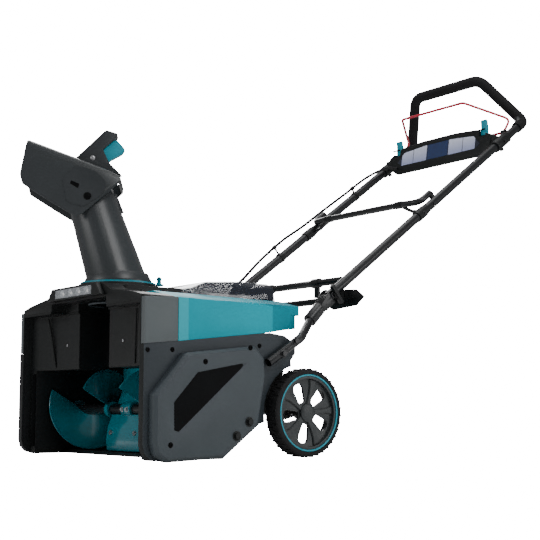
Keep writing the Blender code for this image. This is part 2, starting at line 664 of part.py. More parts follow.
def build_battery_cover():
    """Smoked lid over the battery bay; it hinges at its rear edge."""
    base = 0.3728
    wall = 0.0025
    half = COVER_WIDTH / 2
    profile = [(COVER_FRONT, base), (COVER_REAR, base), (COVER_REAR - 0.002, 0.4100), (COVER_REAR - 0.012, 0.4170),
               (0.359, 0.4170), (0.262, 0.4090), (COVER_FRONT, 0.3900)]
    inner = [(COVER_FRONT + wall, base - 0.01), (COVER_REAR - wall, base - 0.01), (COVER_REAR - 0.0045, 0.4090),
             (COVER_REAR - 0.013, 0.4145), (0.359, 0.4145), (0.262, 0.4065), (COVER_FRONT + wall, 0.3885)]
    front = [(-half, base), (half, base), (half - 0.006, 0.4050), (half - 0.020, 0.4200), (-half + 0.020, 0.4200),
             (-half + 0.006, 0.4050)]
    lid = prism("battery_cover", profile, "X", -half, half)
    boolean(lid, prism("front", front, "Y", 0.1, 0.6), "INTERSECT")
    room = prism("room", inner, "X", -half, half)
    inner_front = [(-half + wall, base - 0.02), (half - wall, base - 0.02), (half - 0.0088, 0.4040),
                   (half - 0.021, 0.4172), (-half + 0.021, 0.4172), (-half + 0.0088, 0.4040)]
    boolean(room, prism("room_front", inner_front, "Y", 0.1, 0.6), "INTERSECT")
    cut(lid, room)
    return finish(lid, "smoke")


# ---------------------------------------------------------------- chute and deflector
def chute_loop(height, shrink):
    """Horizontal section of the leaning, tapering chute, pointing straight ahead."""
    rise = height - CHUTE_FOOT
    radius = CHUTE_RADIUS - CHUTE_TAPER * rise - shrink
    centre = (0.0, CHUTE_Y - CHUTE_LEAN * rise)
    return [Vector((x, y, height)) for x, y in circle(centre, radius, 32)]


def build_chute():
    """Turning ring, leaning chute with its lock rack, and the ring's wing knob."""
    low = DECK_TOP + GAP
    profile = [(low, THROAT_RADIUS), (low, RING_RADIUS), (low + RING_THICKNESS, RING_RADIUS),
               (low + RING_THICKNESS, THROAT_RADIUS)]
    ring = turned("chute_ring", profile, "Z", (0, CHUTE_Y), 40)
    tab_angle = math.radians(94)
    knob = Vector((math.cos(tab_angle) * 0.096, CHUTE_Y + math.sin(tab_angle) * 0.096))
    tab = prism("tab", circle(knob, 0.011, 16), "Z", low, low + RING_THICKNESS)
    join(ring, tab)
    levels = [CHUTE_FOOT + 0.0003, 0.4750, 0.5500, 0.6500]
    chute = loft("chute", [chute_loop(z, 0.0) for z in levels])
    foot = disc("foot", "Z", (0, CHUTE_Y), [(levels[0], 0.0790), (levels[0] + 0.004, 0.0790),
                                            (levels[0] + 0.022, 0.0700)], 32)
    join(chute, foot)
    pin_y = CHUTE_Y - PIN_FORWARD
    skin = CHUTE_RADIUS - CHUTE_TAPER * (PIN_Z - CHUTE_FOOT)
    for sign in (1, -1):
        reach = DEFLECTOR_HALF - DEFLECTOR_WALL - GAP
        boss = disc("boss", "X", (pin_y, PIN_Z), [(sign * (skin - 0.009), 0.014), (sign * reach, 0.014)], 16)
        pin_end = DEFLECTOR_HALF + 0.002
        pin = disc("pin", "X", (pin_y, PIN_Z), [(sign * (skin - 0.004), 0.0045), (sign * pin_end, 0.0045)], 12)
        join(chute, boss, pin)
    bore = loft("bore", [chute_loop(z, CHUTE_WALL) for z in [0.380, 0.4750, 0.5500, 0.6600]])
    cut(chute, bore)
    slope = 0.50
    top = [(CHUTE_Y + 0.10, PIN_Z + 0.016 + slope * 0.17), (pin_y, PIN_Z + 0.016),
           (CHUTE_Y - 0.20, PIN_Z + 0.016 - slope * 0.13), (CHUTE_Y - 0.20, 0.75), (CHUTE_Y + 0.10, 0.75)]
    cut(chute, prism("top_cut", top, "X", -0.1, 0.1))
    back = CHUTE_Y - CHUTE_LEAN * (0.58 - CHUTE_FOOT) + CHUTE_RADIUS - CHUTE_TAPER * (0.58 - CHUTE_FOOT)
    rack = [(back - 0.006, 0.572)]
    pitch = 0.0075
    for k in range(6):
        height = 0.574 + k * pitch
        face = back - (height - 0.58) * (CHUTE_LEAN + CHUTE_TAPER)
        rack += [(face + 0.0055, height + 0.001), (face + 0.0015, height + pitch - 0.001)]
    rack.append((back - 0.006 - 0.045 * (CHUTE_LEAN + CHUTE_TAPER), 0.574 + 6 * pitch))
    join(chute, prism("rack", rack, "X", -0.009, 0.009))
    stem = disc("ring_knob", "Z", knob, [(low + RING_THICKNESS + GAP, 0.0065), (low + 0.010, 0.0050),
                                         (low + 0.014, 0.0060), (low + 0.020, 0.0060)], 16)
    wings = prism("wings", [(knob.x - 0.014, low + 0.021), (knob.x - 0.006, low + 0.0085),
                            (knob.x + 0.006, low + 0.0085), (knob.x + 0.014, low + 0.021)], "Y",
                  knob.y - 0.0025, knob.y + 0.0025)
    join(stem, wings)
    return [finish(ring, "teal_plastic"), finish(smooth(chute), "chute_plastic"), finish(stem, "teal_plastic")]


def ahead(distance, height):
    """Point of the deflector's side view, measured forward of the chute axis."""
    return (CHUTE_Y - distance, height)


def build_deflector():
    """Deflector hood, its handle and the lock trigger, pointing straight ahead."""
    side = rounded([(*ahead(0.211, 0.736), 0.004), (*ahead(0.226, 0.650), 0.02), (*ahead(0.220, 0.627), 0.012),
                    ahead(0.150, 0.583), (*ahead(0.092, 0.549), 0.020), (*ahead(0.048, 0.588), 0.010),
                    (*ahead(-0.004, 0.634), 0.006), (*ahead(-0.006, 0.648), 0.006), ahead(0.040, 0.672)], 3)
    half = DEFLECTOR_HALF
    wall = DEFLECTOR_WALL
    hood = prism("deflector", side, "X", -half, half)
    edge = 0.022
    section = []
    for distance, height in ((-0.02, 0.655), (0.040, 0.6745), (0.2115, 0.7370), (0.30, 0.769)):
        y, z = ahead(distance, height)
        section.append([Vector((x, y, z + drop)) for x, drop in (
            (-half, -0.20), (half, -0.20), (half, -edge), (half - edge * 0.3, -edge * 0.3), (half - edge, 0.0005),
            (-half + edge, 0.0005), (-half + edge * 0.3, -edge * 0.3), (-half, -edge))])
    boolean(hood, loft("crown", section), "INTERSECT")
    core = [[Vector((p.x * (half - wall) / half, p.y, p.z - wall)) for p in loop] for loop in section]
    room = loft("room", core)
    keep = [ahead(0.30, 0.45), ahead(0.30, 0.80), ahead(0.030, 0.80), ahead(-0.0005, 0.652), ahead(-0.0005, 0.45)]
    boolean(room, prism("keep", keep, "X", -0.1, 0.1), "INTERSECT")
    cut(hood, room)
    pin_y = CHUTE_Y - PIN_FORWARD
    cut(hood, prism("pin_holes", circle((pin_y, PIN_Z), 0.0045 + GAP, 12), "X", -0.1, 0.1))
    handle_outline = rounded([ahead(0.105, 0.7015), (*ahead(0.034, 0.772), 0.006), (*ahead(0.004, 0.763), 0.004),
                              ahead(0.010, 0.752), ahead(0.040, 0.724), ahead(0.026, 0.693), ahead(-0.004, 0.6630),
                              ahead(0.038, 0.6775)], 2)
    grip = prism("deflector_handle", handle_outline, "X", -0.0150, 0.0150)
    blade_room = [ahead(0.070, 0.705), ahead(0.062, 0.7225), ahead(0.030, 0.757), ahead(-0.03, 0.780),
                  ahead(-0.03, 0.690), ahead(0.030, 0.6840), ahead(0.070, 0.6930)]
    cut(grip, prism("trigger_slot", blade_room, "X", -0.0095, 0.0095))
    cut(grip, prism("boss_room", circle(ahead(0.064, 0.7030), 0.0075, 16), "X", -0.0095, 0.0095))
    cut(grip, prism("screw_hole", circle(ahead(0.064, 0.7030), 0.0025, 12), "X", -0.02, 0.02))
    trigger_outline = rounded([ahead(0.060, 0.7095), ahead(0.028, 0.7440), (*ahead(0.008, 0.7490), 0.003),
                               (*ahead(-0.012, 0.7270), 0.006), ahead(-0.004, 0.7150), (*ahead(0.024, 0.6990), 0.008),
                               ahead(0.034, 0.6900), ahead(0.060, 0.6980)], 3)
    trigger = prism("trigger", trigger_outline, "X", -0.0090, 0.0090)
    boss = disc("boss", "X", ahead(0.064, 0.7030), [(-0.0090, 0.0065), (0.0090, 0.0065)], 16)
    join(trigger, boss)
    cut(trigger, prism("pin_bore", circle(ahead(0.064, 0.7030), 0.0028, 12), "X", -0.02, 0.02))
    return [finish(smooth(hood), "chute_plastic"), finish(grip, "chute_plastic"), finish(trigger, "teal_plastic")]


# ---------------------------------------------------------------- wheels
def build_wheel(side, sign):
    """Spoked rim, coloured ring and tyre of one wheel."""
    centre = (WHEEL_Y, WHEEL_Z)
    inner = WHEEL_INNER_X
    outer = WHEEL_OUTER_X
    rim_profile = [(inner + 0.004, RIM_RADIUS - 0.006), (inner + 0.004, RIM_RADIUS), (outer - 0.003, RIM_RADIUS),
                   (outer - 0.003, RIM_RADIUS - 0.006)]
    rim = turned("wheel_rim_" + side, rim_profile, "X", centre, 32)
    plate = disc("plate", "X", centre, [(outer - 0.018, RIM_RADIUS - 0.003), (outer - 0.012, RIM_RADIUS - 0.003)], 32)
    window = rounded([(0.024, 0.005, 0.004), (0.070, 0.014, 0.010), (0.058, 0.044, 0.010), (0.020, 0.022, 0.006)], 2)
    for k in range(5):
        angle = math.radians(90 + 72 * k)
        spot = [(WHEEL_Y + a * math.cos(angle) - b * math.sin(angle),
                 WHEEL_Z + a * math.sin(angle) + b * math.cos(angle)) for a, b in window]
        cut(plate, prism("window", spot, "X", outer - 0.03, outer))
    hub = disc("hub", "X", centre, [(inner - 0.004, 0.014), (outer - 0.008, 0.018), (outer - 0.004, 0.015)], 24)
    join(rim, plate, hub)
    cut(rim, prism("hub_bore", circle(centre, AXLE_RADIUS + GAP, 16), "X", inner - 0.02, outer - 0.010))
    ring_profile = [(outer - 0.010, RIM_RADIUS + GAP), (outer - 0.010, RIM_RADIUS + RING_BAND),
                    (outer - 0.001, RIM_RADIUS + RING_BAND), (outer - 0.001, RIM_RADIUS + GAP)]
    ring = turned("wheel_ring_" + side, ring_profile, "X", centre, 40)
    tyre_profile = [(inner, RIM_RADIUS + GAP), (inner, WHEEL_RADIUS - 0.006), (inner + 0.006, WHEEL_RADIUS),
                    (outer - 0.006, WHEEL_RADIUS), (outer, WHEEL_RADIUS - 0.006),
                    (outer, RIM_RADIUS + RING_BAND + GAP), (outer - 0.0103, RIM_RADIUS + RING_BAND + GAP),
                    (outer - 0.0103, RIM_RADIUS + GAP)]
    tyre = turned("tyre_" + side, tyre_profile, "X", centre, 48)
    if sign < 0:
        pieces = []
        for piece in (rim, ring, tyre):
            pieces.append(mirrored(piece.name + "_m", piece))
            bpy.data.objects.remove(piece, do_unlink=True)
        rim, ring, tyre = pieces
        rim.name = "wheel_rim_" + side
        ring.name = "wheel_ring_" + side
        tyre.name = "tyre_" + side
    return [finish(rim, "black_plastic"), finish(ring, "teal_plastic"), finish(tyre, "rubber")]


def build_axle():
    """Fixed axle and the bracket that carries it behind the housing."""
    centre = (WHEEL_Y, WHEEL_Z)
    reach = WHEEL_OUTER_X - 0.0105
    axle = disc("axle", "X", centre, [(-reach, AXLE_RADIUS), (reach, AXLE_RADIUS)], 16)
    web = 0.0040
    outline = [(0.3475, 0.1040), (0.3900, 0.1715), (0.4200, 0.1300), (0.4480, 0.1120), (0.4480, 0.0930), (0.4200, 0.0860)]
    carrier = None
    for sign in (1, -1):
        ear = prism("axle_carrier", rounded([(*p, 0.006) for p in outline], 2), "X", sign * 0.235, sign * (0.235 + web))
        carrier = ear if carrier is None else join(carrier, ear)
    beam = prism("beam", [(0.3505, 0.1090), (0.3850, 0.1635), (0.3880, 0.1600), (0.3540, 0.1060)], "X", -0.236, 0.236)
    join(carrier, beam)
    cut(carrier, prism("axle_bore", circle(centre, AXLE_RADIUS + GAP, 16), "X", -0.3, 0.3))
    return [finish(axle, "steel"), finish(carrier, "black_paint")]


# ---------------------------------------------------------------- handle
SLOPE = math.radians(HANDLE_ANGLE)


def along(distance, above=0.0, x=TRACK):
    """Point on the handle: distance up the tube from the pivot, and above it."""
    return Vector((x, PIVOT_Y + distance * math.cos(SLOPE) - above * math.sin(SLOPE),
                   PIVOT_Z + distance * math.sin(SLOPE) + above * math.cos(SLOPE)))


def build_stub(side, sign):
    """Fixed lower tube bolted to the housing, and the fork that carries the folding handle."""
    bolt_x = HALF + GAP + 0.0105
    route = bent([(sign * bolt_x, 0.3250, 0.2150), (sign * bolt_x, 0.4245, 0.2750), (sign * TRACK, 0.5120, 0.3260),
                  (sign * TRACK, 0.5300, 0.3440)], 0.035)
    stub = sweep("stub_tube_" + side, route, 0.0105, TUBE_WALL, 12)
    fork = sweep("pivot_fork_" + side, [Vector((sign * TRACK, 0.5090, 0.3230)), Vector((sign * TRACK, 0.5430, 0.3570))],
                 0.0165, None, 16)
    cheek = [(0.5330, 0.3620), (0.5480, 0.3460), (0.5860, 0.3760), (0.5930, 0.3910), (0.5880, 0.4030),
             (0.5760, 0.4060), (0.5640, 0.4000)]
    join(fork, prism("cheeks", rounded([(*p, 0.006) for p in cheek], 2), "X",
                     sign * TRACK - TUBE_RADIUS - 0.0040, sign * TRACK + TUBE_RADIUS + 0.0040))
    slot = [(0.5560, 0.3850), (0.5720, 0.3640), (0.6200, 0.3640), (0.6200, 0.4300), (0.5560, 0.4300)]
    gap = TUBE_RADIUS + 0.0006
    cut(fork, prism("fork_slot", slot, "X", sign * TRACK - gap, sign * TRACK + gap))
    bolt_ends = (sign * TRACK - 0.045, sign * TRACK + 0.045)
    cut(fork, prism("bolt_hole", circle((PIVOT_Y, PIVOT_Z), 0.0043, 12), "X", *bolt_ends))
    sleeve_room = sweep("sleeve_room", route, 0.0105 + GAP, None, 12)
    cut(fork, sleeve_room)
    return [finish(stub, "black_paint"), finish(fork, "black_paint")]


def build_pivot_knob(side, sign):
    """Bolt through the fork with a wing knob outside."""
    x = sign * TRACK
    profile = [(x - sign * 0.0185, 0.0060), (x - sign * 0.0175, 0.0060), (x - sign * 0.0174, 0.0040),
               (x + sign * 0.0174, 0.0040), (x + sign * 0.0175, 0.0085), (x + sign * 0.0260, 0.0085)]
    knob = disc("pivot_knob_" + side, "X", (PIVOT_Y, PIVOT_Z), profile, 16)
    lean = math.radians(-50)
    wing = []
    for a, b in ((-0.026, -0.0045), (0.026, -0.0045), (0.026, 0.0045), (-0.026, 0.0045)):
        wing.append((PIVOT_Y + a * math.cos(lean) - b * math.sin(lean),
                     PIVOT_Z + a * math.sin(lean) + b * math.cos(lean)))
    join(knob, prism("wings", wing, "X", x + sign * 0.0185, x + sign * 0.0300))
    return finish(knob, "black_plastic")


def build_lower_tube(side, sign):
    """Lower half of the folding handle on one side, with the sleeve of its upper end."""
    x = sign * TRACK
    tube = sweep("lower_tube_" + side, [along(-0.010, 0, x), along(LOWER_TUBE_END - 0.002, 0, x)],
                 TUBE_RADIUS, None, 14)
    collar = sweep("collar", [along(LOWER_TUBE_END - 0.036, 0, x), along(LOWER_TUBE_END, 0, x)],
                   TUBE_RADIUS + 0.0028, None, 16)
    join(tube, collar)
    hole = prism("bolt_hole", circle((PIVOT_Y, PIVOT_Z), 0.0043, 12), "X", x - 0.03, x + 0.03)
    cut(tube, hole)
    bore = sweep("bore", [along(0.012, 0, x), along(LOWER_TUBE_END + 0.01, 0, x)], TUBE_RADIUS - TUBE_WALL, None, 12)
    cut(tube, bore)
    return finish(tube, "black_paint")


def build_crossbars():
    """Lower bar that holds the clean-out tool, and the middle bar with its bent ends."""
    lower_at = 0.066
    inside = TRACK - TUBE_RADIUS - GAP
    lower = sweep("lower_crossbar", [along(lower_at, 0.004, -inside), along(lower_at, 0.004, inside)], 0.0095, None, 12)
    for x in (-0.070, 0.120):
        clip = sweep("clip", [along(lower_at, 0.004, x - 0.014), along(lower_at, 0.004, x + 0.014)], 0.0125, None, 14)
        hook = box("hook", (x - 0.008, along(lower_at).y - 0.0040, TOOL_Z + TOOL_RADIUS + 0.0006),
                   (x + 0.008, along(lower_at).y + 0.0040, along(lower_at).z - 0.004))
        join(clip, hook)
        join(lower, clip)
    up = TUBE_RADIUS + 0.0095 + GAP
    reach = TRACK - 0.012
    middle_at = LOWER_TUBE_END + 0.013
    route = bent([along(middle_at + 0.052, up, -reach), along(middle_at, up, -reach), along(middle_at - 0.004, up + 0.004, -reach + 0.05),
                  along(middle_at - 0.004, up + 0.004, reach - 0.05), along(middle_at, up, reach),
                  along(middle_at + 0.052, up, reach)], 0.030, 4)
    middle = sweep("mid_crossbar", route, 0.0090, 0.0014, 12)
    return [finish(lower, "black_paint"), finish(middle, "black_paint")]


TOOL_Y = PIVOT_Y + 0.056
TOOL_Z = 0.3860
TOOL_RADIUS = 0.0085


def build_tool():
    """Clean-out tool clipped under the lower bar: a round handle and a pointed, ribbed blade."""
    tool = disc("cleanout_tool", "X", (TOOL_Y, TOOL_Z), [(-0.130, 0.0070), (-0.124, TOOL_RADIUS), (0.150, TOOL_RADIUS),
                                                         (0.170, 0.0060)], 14)
    blade = [(0.150, TOOL_Z - 0.010), (0.178, TOOL_Z - 0.026), (0.262, TOOL_Z - 0.020), (0.289, TOOL_Z),
             (0.262, TOOL_Z + 0.020), (0.178, TOOL_Z + 0.026), (0.150, TOOL_Z + 0.010)]
    join(tool, prism("blade", blade, "Y", TOOL_Y - 0.0020, TOOL_Y + 0.0020))
    join(tool, box("rib", (0.160, TOOL_Y - 0.0060, TOOL_Z - 0.003), (0.255, TOOL_Y + 0.0030, TOOL_Z + 0.003)))
    return finish(tool, "black_plastic")


def build_loop():
    """Upper handle loop and its foam grip."""
    turn = along(0.985)
    top = along(0.996, 0.159, TRACK - 0.096)
    points = [along(LOWER_TUBE_END + 0.0006), turn, top]
    mirror = [Vector((-p.x, p.y, p.z)) for p in reversed(points)]
    route = bent(points + mirror, 0.050, 4)
    loop = sweep("handle_loop", route, TUBE_RADIUS, TUBE_WALL, 12)
    start = along(0.945)
    foam_points = [start, turn, top]
    foam_mirror = [Vector((-p.x, p.y, p.z)) for p in reversed(foam_points)]
    foam = sweep("grip_foam", bent(foam_points + foam_mirror, 0.050, 4), GRIP_RADIUS, None, 12)
    room = sweep("foam_bore", route, TUBE_RADIUS + GAP, None, 12)
    cut(foam, room)
    return [finish(loop, "black_paint"), finish(smooth(foam, 50), "foam")]


def build_console():
    """Switch console between the tubes, its window, the two lock-off levers and the bail."""
    wide = TRACK - 0.021
    foot = TRACK - 0.058
    brow = TRACK - 0.076
    front = [(-foot, 0.853), (foot, 0.853), (wide, 0.880), (wide, 0.912), (brow, 0.938), (0.060, 0.945),
             (-0.060, 0.945), (-brow, 0.938), (-wide, 0.912), (-wide, 0.880)]
    body = prism("console", rounded([(*p, 0.010) for p in front], 2), "Y", 1.2370, 1.3000)
    side = [(1.2390, 0.850), (1.2900, 0.870), (1.3000, 0.900), (1.2960, 0.935), (1.2620, 0.950), (1.2510, 0.944),
            (1.2370, 0.860)]
    boolean(body, prism("side", side, "X", -0.3, 0.3), "INTERSECT")
    room = [(1.2435, 0.8620), (1.2865, 0.8735), (1.2955, 0.9000), (1.2920, 0.9300), (1.2560, 0.9300)]
    cut(body, prism("switch_room", room, "X", -brow, brow))
    cut(body, prism("drain", circle((0.0, 1.2700), 0.0040, 12), "Z", 0.840, 0.880))
    for sign in (1, -1):
        clamp = sweep("clamp", [along(0.812, 0.0, sign * TRACK), along(0.880, 0.0, sign * TRACK)],
                      TUBE_RADIUS + 0.0045, None, 16)
        bridge = box("bridge", (sign * (TRACK - 0.036), 1.2480, 0.8800), (sign * (TRACK - 0.004), 1.2900, 0.9060))
        join(body, clamp, bridge)
        cut(body, sweep("tube_room", [along(0.75, 0.0, sign * TRACK), along(0.95, 0.0, sign * TRACK)],
                        TUBE_RADIUS + 3 * GAP, None, 12))
        lever_x = sign * LEVER_X
        cut(body, box("lever_slot", (lever_x - 0.0125, 1.2450, 0.9140), (lever_x + 0.0125, 1.2730, 0.97)))
    shoulder = TRACK - 0.086
    window = [(-brow, 0.8790), (brow, 0.8790), (foot, 0.8920), (shoulder, 0.9200), (0.052, 0.9280), (-0.052, 0.9280),
              (-shoulder, 0.9200), (-foot, 0.8920)]
    lean = (0.944 - 0.860) / (1.2510 - 1.2370)

    def face(z, depth):
        return 1.2370 + (z - 0.860) / lean + depth

    pocket = loft("pocket", [[Vector((x, face(z, depth), z)) for x, z in window] for depth in (-0.01, 0.0030)])
    cut(body, pocket)
    glass = inset(window, GAP)
    pane = loft("console_window", [[Vector((x, face(z, depth), z)) for x, z in glass]
                                   for depth in (-0.0005, 0.0030 - GAP)])
    return [finish(body, "black_plastic"), finish(pane, "label")]


LEVER_X = TRACK - 0.054
LEVER_AXIS_Y = 1.2600
LEVER_AXIS_Z = 0.9240
BAIL_AXIS = (0.0, 1.3060, 0.9280)


def build_levers():
    """Lock-off levers that stand in the console's upper corners."""
    made = []
    for side, sign in SIDES.items():
        x = sign * LEVER_X
        outline = [(LEVER_AXIS_Y - 0.005, LEVER_AXIS_Z - 0.006), (LEVER_AXIS_Y + 0.006, LEVER_AXIS_Z - 0.006),
                   (LEVER_AXIS_Y + 0.006, 0.9420), (LEVER_AXIS_Y + 0.002, 0.9640), (LEVER_AXIS_Y - 0.006, 0.9650),
                   (LEVER_AXIS_Y - 0.004, 0.9420)]
        made.append(finish(prism("lockoff_lever_" + side, outline, "X", x - 0.0110, x + 0.0110), "teal_plastic"))
    return made


def build_bail():
    """Wire bail that the hand squeezes to the grip to run the auger."""
    hub = Vector((TRACK - 0.014, BAIL_AXIS[1], BAIL_AXIS[2]))
    knee = along(0.958, 0.0263, TRACK - 0.021)
    top = along(0.890, 0.1335, TRACK - 0.102)
    inner = Vector((TRACK - 0.076, BAIL_AXIS[1], BAIL_AXIS[2]))
    points = [inner, hub - Vector((0.006, 0, 0)), knee, top]
    mirror = [Vector((-p.x, p.y, p.z)) for p in reversed(points)]
    return finish(sweep("bail", bent(points + mirror, 0.016, 4), BAIL_RADIUS, None, 10), "red_paint")


# Cable harness route: chosen points (inside the right-hand tube's axis, Y, Z), held by clips along that tube.
HARNESS_UPPER = [
    (0.0610, 1.2355, 0.8720), (0.0380, 1.2120, 0.8740), (0.0080, 1.1550, 0.8420), (-0.0030, 1.0600, 0.7730),
    (-0.0030, 0.9700, 0.7120), (-0.0030, 0.8900, 0.6560), (-0.0030, 0.8100, 0.6050), (-0.0030, 0.7300, 0.5420),
    (0.0030, 0.6660, 0.4860), (0.0130, 0.6260, 0.4560), (0.0240, 0.5992, 0.4310),
]
HARNESS_LOWER = [
    (0.0246, 0.5981, 0.4288), (0.0250, 0.5880, 0.4110), (0.0250, 0.5740, 0.3930), (0.0260, 0.5520, 0.3720),
    (0.0320, 0.5160, 0.3460), (0.0400, 0.4830, 0.3260), (0.0460, 0.4572, 0.3200),
]


def curve_through(points, samples=5):
    """Smooth route through chosen points."""
    spots = [Vector((inward - TRACK, y, z)) for inward, y, z in points]
    spots = [spots[0] * 2 - spots[1]] + spots + [spots[-1] * 2 - spots[-2]]
    route = []
    for a, b, c, d in zip(spots, spots[1:], spots[2:], spots[3:]):
        for k in range(samples):
            t = k / samples
            route.append(0.5 * ((2 * b) + (c - a) * t + (2 * a - 5 * b + 4 * c - d) * t * t
                                + (3 * b - a - 3 * c + d) * t ** 3))
    route.append(spots[-2])
    return route


def build_harness():
    """Control cable from the console to the machine, in two lengths that meet at the fold."""
    upper = sweep("harness_upper", curve_through(HARNESS_UPPER, 3), 0.0042, None, 8)
    lower = sweep("harness_lower", curve_through(HARNESS_LOWER, 3), 0.0042, None, 8)
    return [finish(upper, "rubber"), finish(lower, "rubber")]


# ---------------------------------------------------------------- assembly
def centre_machine(machine):
    """Slide the machine along Y until the middle of its bounding box is over the origin."""
    bpy.context.view_layer.update()
    reach = []
    for obj in bpy.data.objects:
        if obj.type == "MESH":
            reach += [(obj.matrix_world @ vertex.co).y for vertex in obj.data.vertices]
    machine.location.y = -(min(reach) + max(reach)) / 2


def build():
    """Build every piece and hang it on its joint."""
    clear_scene()
    machine = pivot("machine", (0, 0, 0))
    chassis = [build_housing(), build_hood(), *build_lamp(), *build_corner_blocks(), build_top_cover()]
    left_cover = build_side_cover("side_cover_left")
    right_cover = finish(mirrored("side_cover_right", left_cover), "charcoal_plastic")
    chassis += [left_cover, right_cover, build_scraper(), *build_bearings(), *build_axle()]
    motor, rotor, belt, controller = build_drive()
    tray, *packs = build_batteries()
    chassis += [motor, belt, controller, tray]
    for obj in chassis:
        mount(obj, machine)

    auger_axis = pivot("auger_axis", (0, AUGER_Y, AUGER_Z), machine)
    for obj in build_auger():
        mount(obj, auger_axis)
    mount(rotor, pivot("motor_axis", (0, MOTOR_Y, MOTOR_Z), machine))
    for pack in packs:
        mount(pack, pivot(pack.name + "_slide", (0, 0.3075, 0.29), machine))
    mount(build_battery_cover(), pivot("cover_hinge", (0, COVER_REAR, COVER_HINGE_Z), machine))

    ring, chute, knob = build_chute()
    deflector, grip, trigger = build_deflector()
    chute_axis = pivot("chute_axis", (0, CHUTE_Y, DECK_TOP), machine, CHUTE_YAW)
    for obj in (ring, chute):
        mount(obj, chute_axis)
    tab_angle = math.radians(94)
    knob_at = (math.cos(tab_angle) * 0.096, CHUTE_Y + math.sin(tab_angle) * 0.096, DECK_TOP)
    mount(knob, pivot("ring_knob_axis", knob_at, chute_axis))
    tilt_axis = pivot("deflector_axis", (0, CHUTE_Y - PIN_FORWARD, PIN_Z), chute_axis)
    for obj in (deflector, grip):
        mount(obj, tilt_axis)
    mount(trigger, pivot("trigger_axis", (0, *ahead(0.064, 0.7030)), tilt_axis))

    handle_axis = pivot("handle_axis", (0, PIVOT_Y, PIVOT_Z), machine)
    harness_upper, harness_lower = build_harness()
    mount(harness_lower, machine)
    console = build_console()
    for obj in [*build_crossbars(), build_loop(), console, harness_upper]:
        for piece in obj if isinstance(obj, list) else [obj]:
            mount(piece, handle_axis)
    mount(build_tool(), pivot("tool_slide", (0, TOOL_Y, TOOL_Z), handle_axis))
    for lever in build_levers():
        mount(lever, pivot(lever.name + "_axis", (0, LEVER_AXIS_Y, LEVER_AXIS_Z), handle_axis))
    mount(build_bail(), pivot("bail_axis", BAIL_AXIS, handle_axis))

    for side, sign in SIDES.items():
        for obj in build_stub(side, sign):
            mount(obj, machine)
        mount(build_lower_tube(side, sign), handle_axis)
        mount(build_pivot_knob(side, sign), pivot("knob_axis_" + side, (sign * TRACK, PIVOT_Y, PIVOT_Z), machine))
        wheel_axis = pivot("wheel_axis_" + side, (0, WHEEL_Y, WHEEL_Z), machine)
        for obj in build_wheel(side, sign):
            mount(obj, wheel_axis)
    centre_machine(machine)


build()
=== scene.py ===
# %% [markdown]
# # A battery snow blower, dressed for its portrait
# The frame holds every CAD node of the machine at its true place, in metres. This lesson keeps those places
# and gives each node its finish: softened edges, finer shapes where the plain solid is too plain, and
# procedural materials. It starts by loading the frame.

# %% Load the frame
import json
import math

import bmesh
import bpy
from mathutils import Matrix, Vector


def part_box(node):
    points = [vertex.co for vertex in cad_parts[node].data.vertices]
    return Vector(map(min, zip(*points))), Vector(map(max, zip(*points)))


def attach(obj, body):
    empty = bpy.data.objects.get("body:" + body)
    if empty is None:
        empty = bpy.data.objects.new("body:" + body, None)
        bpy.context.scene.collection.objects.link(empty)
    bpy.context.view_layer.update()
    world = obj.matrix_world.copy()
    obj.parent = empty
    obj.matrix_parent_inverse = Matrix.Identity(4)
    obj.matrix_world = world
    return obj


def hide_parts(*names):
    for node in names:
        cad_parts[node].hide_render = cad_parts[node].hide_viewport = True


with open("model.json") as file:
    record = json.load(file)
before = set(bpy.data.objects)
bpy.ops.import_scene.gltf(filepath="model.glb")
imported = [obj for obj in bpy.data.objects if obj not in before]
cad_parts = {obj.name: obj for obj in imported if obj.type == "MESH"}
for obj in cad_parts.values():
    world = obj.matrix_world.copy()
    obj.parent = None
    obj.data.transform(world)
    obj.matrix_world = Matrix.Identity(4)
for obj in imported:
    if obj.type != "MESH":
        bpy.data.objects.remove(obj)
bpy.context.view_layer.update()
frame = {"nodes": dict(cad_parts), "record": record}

NODES = frame["nodes"]
BODY_OF = {}
for body_name, members in frame["record"]["behaviour"]["bodies"].items():
    for member in members:
        BODY_OF[member] = body_name
SLOT_OF = {row["node"]: row["material_slot"] for row in frame["record"]["subparts"]}
SIDES = (("left", 1), ("right", -1))
RECORD_SLOTS = {row["slot"] for row in frame["record"]["materials"]}

# %% [markdown]
# ## Where things are
# The intake's front edge is the machine's own zero line. Everything that is placed along the machine is
# measured from there, so this offset turns a distance behind the mouth into a world coordinate.

# %% The mouth line
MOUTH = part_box("auger_housing")[0][1]
HALF_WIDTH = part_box("auger_housing")[1][0]


def spot(x, y, z):
    """World point from a sideways place, a distance behind the mouth and a height."""
    return Vector((x, y + MOUTH, z))


def linked(name, data):
    """New object, in the scene."""
    made = bpy.data.objects.new(name, data)
    bpy.context.scene.collection.objects.link(made)
    return made


print("mouth at y =", round(MOUTH, 4))

# %% [markdown]
# ## Camera and studio
# The camera stands low, eleven centimetres above the floor, off the machine's left front corner, and looks
# slightly up, as when someone kneels down to photograph it. A long lens keeps the sides nearly parallel. A
# pale floor, a bright surround and five large area lights make the soft studio look. The floor and the
# surround look far brighter to the camera than they shine on the machine, so the background is white and
# the shading stays.

